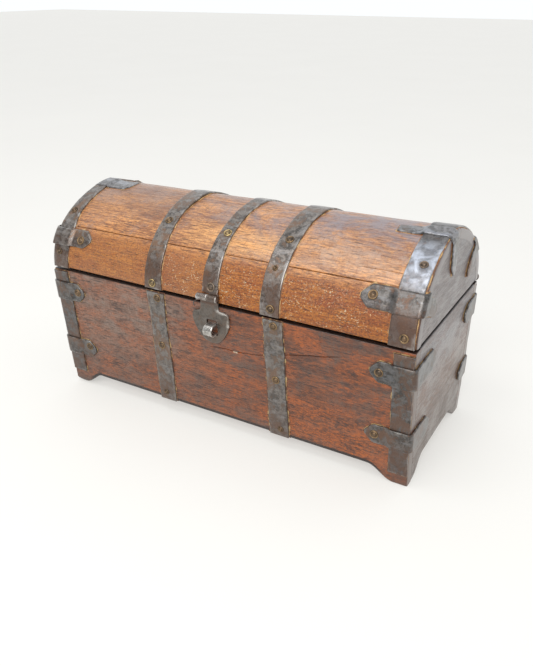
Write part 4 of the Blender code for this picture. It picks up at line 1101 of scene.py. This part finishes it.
# the hasp plate's outline as (x from its middle, z), clockwise from the neck's upper left
HASP_OUTLINE = (
    (0.0088, 0.1408), (0.0090, 0.1370), (0.0092, 0.1325), (0.0098, 0.1318), (0.0112, 0.1315),
    (0.0140, 0.1311), (0.0166, 0.1302), (0.0184, 0.1286), (0.0194, 0.1264), (0.0197, 0.1238),
    (0.0195, 0.1205), (0.0188, 0.1172), (0.0177, 0.1138), (0.0161, 0.1102), (0.0140, 0.1066),
    (0.0114, 0.1032), (0.0086, 0.1004), (0.0055, 0.0985), (0.0022, 0.0976), (-0.0012, 0.0976),
    (-0.0048, 0.0984), (-0.0082, 0.1002), (-0.0112, 0.1030), (-0.0140, 0.1064), (-0.0162, 0.1100),
    (-0.0179, 0.1138), (-0.0190, 0.1172), (-0.0196, 0.1205), (-0.0197, 0.1232), (-0.0192, 0.1254),
    (-0.0180, 0.1271), (-0.0160, 0.1282), (-0.0136, 0.1288), (-0.0116, 0.1294), (-0.0104, 0.1306),
    (-0.0098, 0.1325), (-0.0096, 0.1370), (-0.0095, 0.1408))


def hasp_plate():
    tip_z = 0.0975
    top_y = HASP_PIN_Y + CURL_RADIUS
    tip_y = -(body_half_depth(tip_z) + 0.0007 + FORGED / 2)
    outer = []
    for a, b in zip(HASP_OUTLINE, HASP_OUTLINE[1:] + HASP_OUTLINE[:1]):
        outer += [(HASP_X + a[0] * (1 - t) + b[0] * t, a[1] * (1 - t) + b[1] * t) for t in (0.25, 0.75)]
    slot_half, slot_low, slot_high, r = 0.0056, 0.1060, 0.1218, 0.0016
    inner = []
    for cx, cz, start in ((slot_half - r, slot_high - r, 0), (r - slot_half, slot_high - r, 90),
                          (r - slot_half, slot_low + r, 180), (slot_half - r, slot_low + r, 270)):
        inner += curl((cx, cz), r, start, 90, 4)
    work = bmesh.new()
    edges = []
    for loop in (outer, inner):
        verts = [work.verts.new((x, 0.0, z)) for x, z in loop]
        edges += [work.edges.new(pair) for pair in zip(verts, verts[1:] + verts[:1])]
    bmesh.ops.triangle_fill(work, use_beauty=True, use_dissolve=False, edges=edges, normal=(0, -1, 0))
    for _ in range(2):
        long_edges = [e for e in work.edges if e.calc_length() > 0.0028 and len(e.link_faces) == 2]
        bmesh.ops.subdivide_edges(work, edges=long_edges, cuts=1, use_grid_fill=False)
        bmesh.ops.triangulate(work, faces=work.faces)
    layer = work.verts.layers.float.new("wear")
    for vertex in work.verts:
        drop = (HASP_PIN_Z - vertex.co.z) / (HASP_PIN_Z - tip_z)
        vertex.co.y = top_y + (tip_y - top_y) * drop - FORGED / 2
        vertex.co.y += 0.00012 * rumple(vertex.co, 0.009)
        if vertex.is_boundary:
            # a painted highlight along the rim of the ear on the upper right; the rest of the rim is a little
            # worn
            vertex[layer] = 1.0 if vertex.co.x > 0.0075 and vertex.co.z > 0.118 else 0.10
    made = bmesh.ops.extrude_face_region(work, geom=work.faces[:])
    moved = [g for g in made["geom"] if isinstance(g, bmesh.types.BMVert)]
    bmesh.ops.translate(work, verts=moved, vec=(0, FORGED, 0))
    piece = finish_mesh("hasp_plate_forged", work, worn_iron, 60)
    bevel = piece.modifiers.new("worn_edges", "BEVEL")
    bevel.width, bevel.segments = 0.0005, 3
    bevel.limit_method, bevel.angle_limit = "ANGLE", math.radians(50)
    place(piece, "hasp", "worn_iron", "hasp_plate")
    knuckle = (HASP_X - HASP_KNUCKLE_HALF - 0.0012, HASP_X - GAP / 2)
    roll = curl((HASP_PIN_Y, HASP_PIN_Z), CURL_RADIUS, -285, 285) + [(top_y, HASP_PIN_Z - 0.0032)]
    strip("hasp_plate_roll", roll + [(top_y, HASP_PIN_Z - 0.0045)],
          [knuckle] * len(roll) + [(HASP_X - 0.0093, HASP_X + 0.0085)], "hasp", "worn_iron", rubbed_iron,
          thickness=KNUCKLE_THICKNESS)


hasp_plate()


def staple():
    reach = 0.0060
    radius = reach - FORGED / 2

    def leg(z, *reaches):
        """Points inside the body, along the front board's inner face."""
        return [(2 * GAP + FORGED / 2 + BOARD - body_half_depth(z + r), z + r) for r in reaches]

    path = leg(STAPLE_Z + radius, 0.008, 0.0) + curl((reach - REACH, STAPLE_Z), radius, 90, 180, 36)
    path += leg(STAPLE_Z - radius, 0.0, -0.008)
    strip("staple_bent", path, [(-0.0046, 0.0046)] * len(path), "chest", "worn_iron", rubbed_iron, ["staple"])


staple()


# ------------------------------------------------------------------ nails
# a domed head inside a raised ring: radius as a share, height, and wear
NAIL_PROFILE = ((0.0, -0.0012, 0.0), (0.35, -0.0012, 0.0), (1.0, -0.0003, 0.3), (1.02, 0.0002, 0.8),
                (0.95, 0.0006, 1.0), (0.84, 0.00075, 1.0), (0.74, 0.0006, 0.7), (0.66, 0.0003, 0.1),
                (0.60, 0.00028, 0.0), (0.52, 0.0006, 0.25), (0.38, 0.0011, 0.45), (0.20, 0.0014, 0.35),
                (0.0, 0.0015, 0.15))
LEAN = math.atan((DEPTH_TOP - DEPTH_FLOOR) / 2 / BODY_TOP)
ON_STRAP = ON_WOOD + IRON


def nail(name, body, side, place_xz, radius, metal=nail_iron, worn=1.0, nodes=()):
    """A nail on an iron, at (x, z) on the body or the lid."""
    x, z = place_xz
    if body == "chest":
        at = Vector((x, side * (body_half_depth(z) + ON_STRAP), z))
        normal = Vector((0, side * math.cos(LEAN), -math.sin(LEAN)))
    else:
        lift = ON_STRAP + 0.0002
        s = ARCH.at_height(LID_BOTTOM + (z - LID_BOTTOM) / (1 + CROWN_TAPER * x / HALF_LENGTH), side)
        at, above = (Vector(tapered((x, *ARCH.point(s, lift + extra)))) for extra in (0.0, 0.01))
        normal = (above - at).normalized()
    matrix = Matrix.Translation(at) @ Vector((0, 0, 1)).rotation_difference(normal).to_matrix().to_4x4()
    turned(name, [(radius * share, height) for share, height, _ in NAIL_PROFILE], matrix, metal, body,
           "nail_iron", nodes, 26, [wear * worn for _, _, wear in NAIL_PROFILE])


BODY_NAILS = {"left_upper": (-0.0603, 0.1302), "left_lower": (-0.0620, 0.0788),
              "right_upper": (0.0636, 0.1304), "right_lower": (0.0639, 0.0754)}
BODY_CLIP_NAILS = {"clip_upper_right": (0.1605, 0.1112), "clip_lower_right": (0.1585, 0.0480),
                   "clip_upper_left": (-0.1625, 0.1135), "clip_lower_left": (-0.1600, 0.0513)}
FOOT_NAILS = {"foot_left": (-0.0640, 0.0235), "foot_right": (0.0668, 0.0215)}
LID_NAILS = {"left_upper": (-0.0682, 0.1930), "left_lower": (-0.0646, 0.1446),
             "middle_upper": (-0.0014, 0.1922), "middle_lower": (0.0000, 0.1528),
             "right_upper": (0.0594, 0.1950), "right_middle": (0.0577, 0.1768),
             "right_lower": (0.0607, 0.1458), "edge_upper": (0.1790, 0.1952),
             "edge_lower": (0.1794, 0.1470)}
LID_NAIL_SIZES = {"right_middle": 0.0024, "middle_lower": 0.0042, "edge_upper": 0.0036}
LID_NAIL_METALS = {"middle_upper": nail_brass, "left_lower": nail_brass, "edge_upper": nail_grey,
                   "middle_lower": nail_grey}
BAND_NAIL, CLIP_NAIL, FOOT_NAIL, EDGE_NAIL, REAR_NAIL = 0.0039, 0.0040, 0.0030, 0.0034, 0.0038
for word, spot in BODY_NAILS.items():
    nail("body_nail_%s_ringed" % word, "chest", FRONT, spot, BAND_NAIL, nodes=["body_nail_" + word])
for word, spot in LID_NAILS.items():
    nail("lid_nail_%s_ringed" % word, "lid", FRONT, spot, LID_NAIL_SIZES.get(word, BAND_NAIL),
         LID_NAIL_METALS.get(word, nail_iron), nodes=["lid_nail_" + word])
for word, spot in BODY_CLIP_NAILS.items():
    for side in (FRONT, BACK):
        nail("nail_%s_%s" % (word, SIDE_NAMES[side]), "chest", side, spot, CLIP_NAIL)
for word, spot in BODY_NAILS.items():
    nail("nail_back_band_" + word, "chest", BACK, spot, BAND_NAIL)
for word, spot in FOOT_NAILS.items():
    for side in (FRONT, BACK):
        nail("nail_%s_%s" % (word, SIDE_NAMES[side]), "chest", side, spot, FOOT_NAIL, worn=0.35)
for word, (x, z) in {"clip_right": (0.1478, 0.1730), "clip_left": (-0.1560, 0.1672)}.items():
    nail("nail_lid_%s_front" % word, "lid", FRONT, (x, z), 0.0041)
    nail("nail_lid_%s_back" % word, "lid", BACK, (x, z + 0.006), CLIP_NAIL)
for word, spot in {"edge_left_upper": (-0.1815, 0.1880), "edge_left_lower": (-0.1805, 0.1545)}.items():
    nail("nail_lid_" + word, "lid", FRONT, spot, EDGE_NAIL, worn=0.4)
for word, (x, z) in LID_NAILS.items():
    # behind, the hasp's and the small nail have no twin, and the left edge band's nails are added
    if word not in ("middle_lower", "right_middle"):
        z += 0.010 if word == "edge_lower" else 0.0
        nail("nail_lid_rear_" + word, "lid", BACK, (x, z), REAR_NAIL)
        if word.startswith("edge"):
            nail("nail_lid_rear_left_" + word, "lid", BACK, (-x, z), REAR_NAIL)

# a bent bit of wire hangs from the left end of the hasp's barrel
WIRE_PATH = [Vector(p) for p in ((-0.0112, -0.0905, 0.1404), (-0.0132, -0.0915, 0.1400),
                                 (-0.0152, -0.0922, 0.1386), (-0.0166, -0.0922, 0.1366),
                                 (-0.0172, -0.0914, 0.1345), (-0.0170, -0.0903, 0.1328))]
WIRE_RADIUS, WIRE_SIDES = 0.0005, 8
wire = bmesh.new()
rings = []
for at, before, after in zip(WIRE_PATH, WIRE_PATH[:1] + WIRE_PATH, WIRE_PATH[1:] + WIRE_PATH[-1:]):
    along = (after - before).normalized()
    side_a = along.cross(Vector((0, 1, 0))).normalized()
    side_b = along.cross(side_a)
    turns = [2 * math.pi * k / WIRE_SIDES for k in range(WIRE_SIDES)]
    rings.append([wire.verts.new(at + (side_a * math.cos(t) + side_b * math.sin(t)) * WIRE_RADIUS)
                  for t in turns])
for near, far in zip(rings, rings[1:]):
    for k in range(WIRE_SIDES):
        after = (k + 1) % WIRE_SIDES
        wire.faces.new([near[k], near[after], far[after], far[k]])
wire.faces.new(rings[0][::-1])
wire.faces.new(rings[-1])
place(finish_mesh("hasp_wire", wire, rusty_iron), "lid", "nail_iron")

# the old filler beside the irons
place(finish_mesh("old_wax_chest", wax_work["chest"], body_wax, 60), "chest", "body_wood")
place(finish_mesh("old_wax_lid", wax_work["lid"], lid_wax, 60), "lid", "lid_wood")

# ------------------------------------------------------------------ floor, light, camera
pale = Nodes("pale_floor")
pale.color = pale.mix(pale.noise(3), (0.37, 0.365, 0.350), (0.40, 0.395, 0.380))
pale.finish(Roughness=0.75, Emission_Color=(1.0, 0.99, 0.955, 1.0), Emission_Strength=0.50)
work = bmesh.new()
bmesh.ops.create_grid(work, x_segments=24, y_segments=24, size=9.0)
floor = finish_mesh("floor", work, pale.material)
floor.location = (0, 0, -0.0002)

world = bpy.data.worlds.new("soft_room")
bpy.context.scene.world = world
world.use_nodes = True
room = world.node_tree
parts = room.nodes.new("ShaderNodeSeparateXYZ")
room.links.new(room.nodes.new("ShaderNodeTexCoord").outputs["Generated"], parts.inputs[0])
# brighter behind the chest than in front of it
brightness = room.nodes.new("ShaderNodeMapRange")
for value, socket in zip((-0.45, 0.35, 0.46, 1.02), list(brightness.inputs)[1:5]):
    socket.default_value = value
room.links.new(parts.outputs["Y"], brightness.inputs[0])
room.links.new(brightness.outputs[0], room.nodes["Background"].inputs[1])
room.nodes["Background"].inputs[0].default_value = (0.97, 0.99, 1.0, 1.0)


def softbox(name, at, aim, size, power, color):
    light = bpy.data.lights.new(name, "AREA")
    light.shape = "RECTANGLE"
    light.size, light.size_y = size
    light.energy, light.color = power, color
    lamp = bpy.data.objects.new(name, light)
    lamp.location = at
    lamp.rotation_euler = (Vector(aim) - Vector(at)).to_track_quat("-Z", "Y").to_euler()
    bpy.context.scene.collection.objects.link(lamp)


softbox("window_front", (0.36, -1.70, 1.40), (0, 0, 0.05), (1.5, 1.0), 34.0, (1.0, 0.99, 0.97))
softbox("window_above", (-0.30, -0.62, 1.65), (0, 0, 0.1), (0.80, 0.60), 7.0, (1.0, 0.99, 0.98))

camera_data = bpy.data.cameras.new("camera")
camera_data.lens = 38.75
camera = bpy.data.objects.new("camera", camera_data)
camera.location = (0.33307, -0.57139, 0.39413)
camera.rotation_euler = [math.radians(a) for a in (63.951, 0.0, 29.782)]
bpy.context.scene.collection.objects.link(camera)
bpy.context.scene.camera = camera
bpy.context.scene.view_settings.view_transform = "Standard"
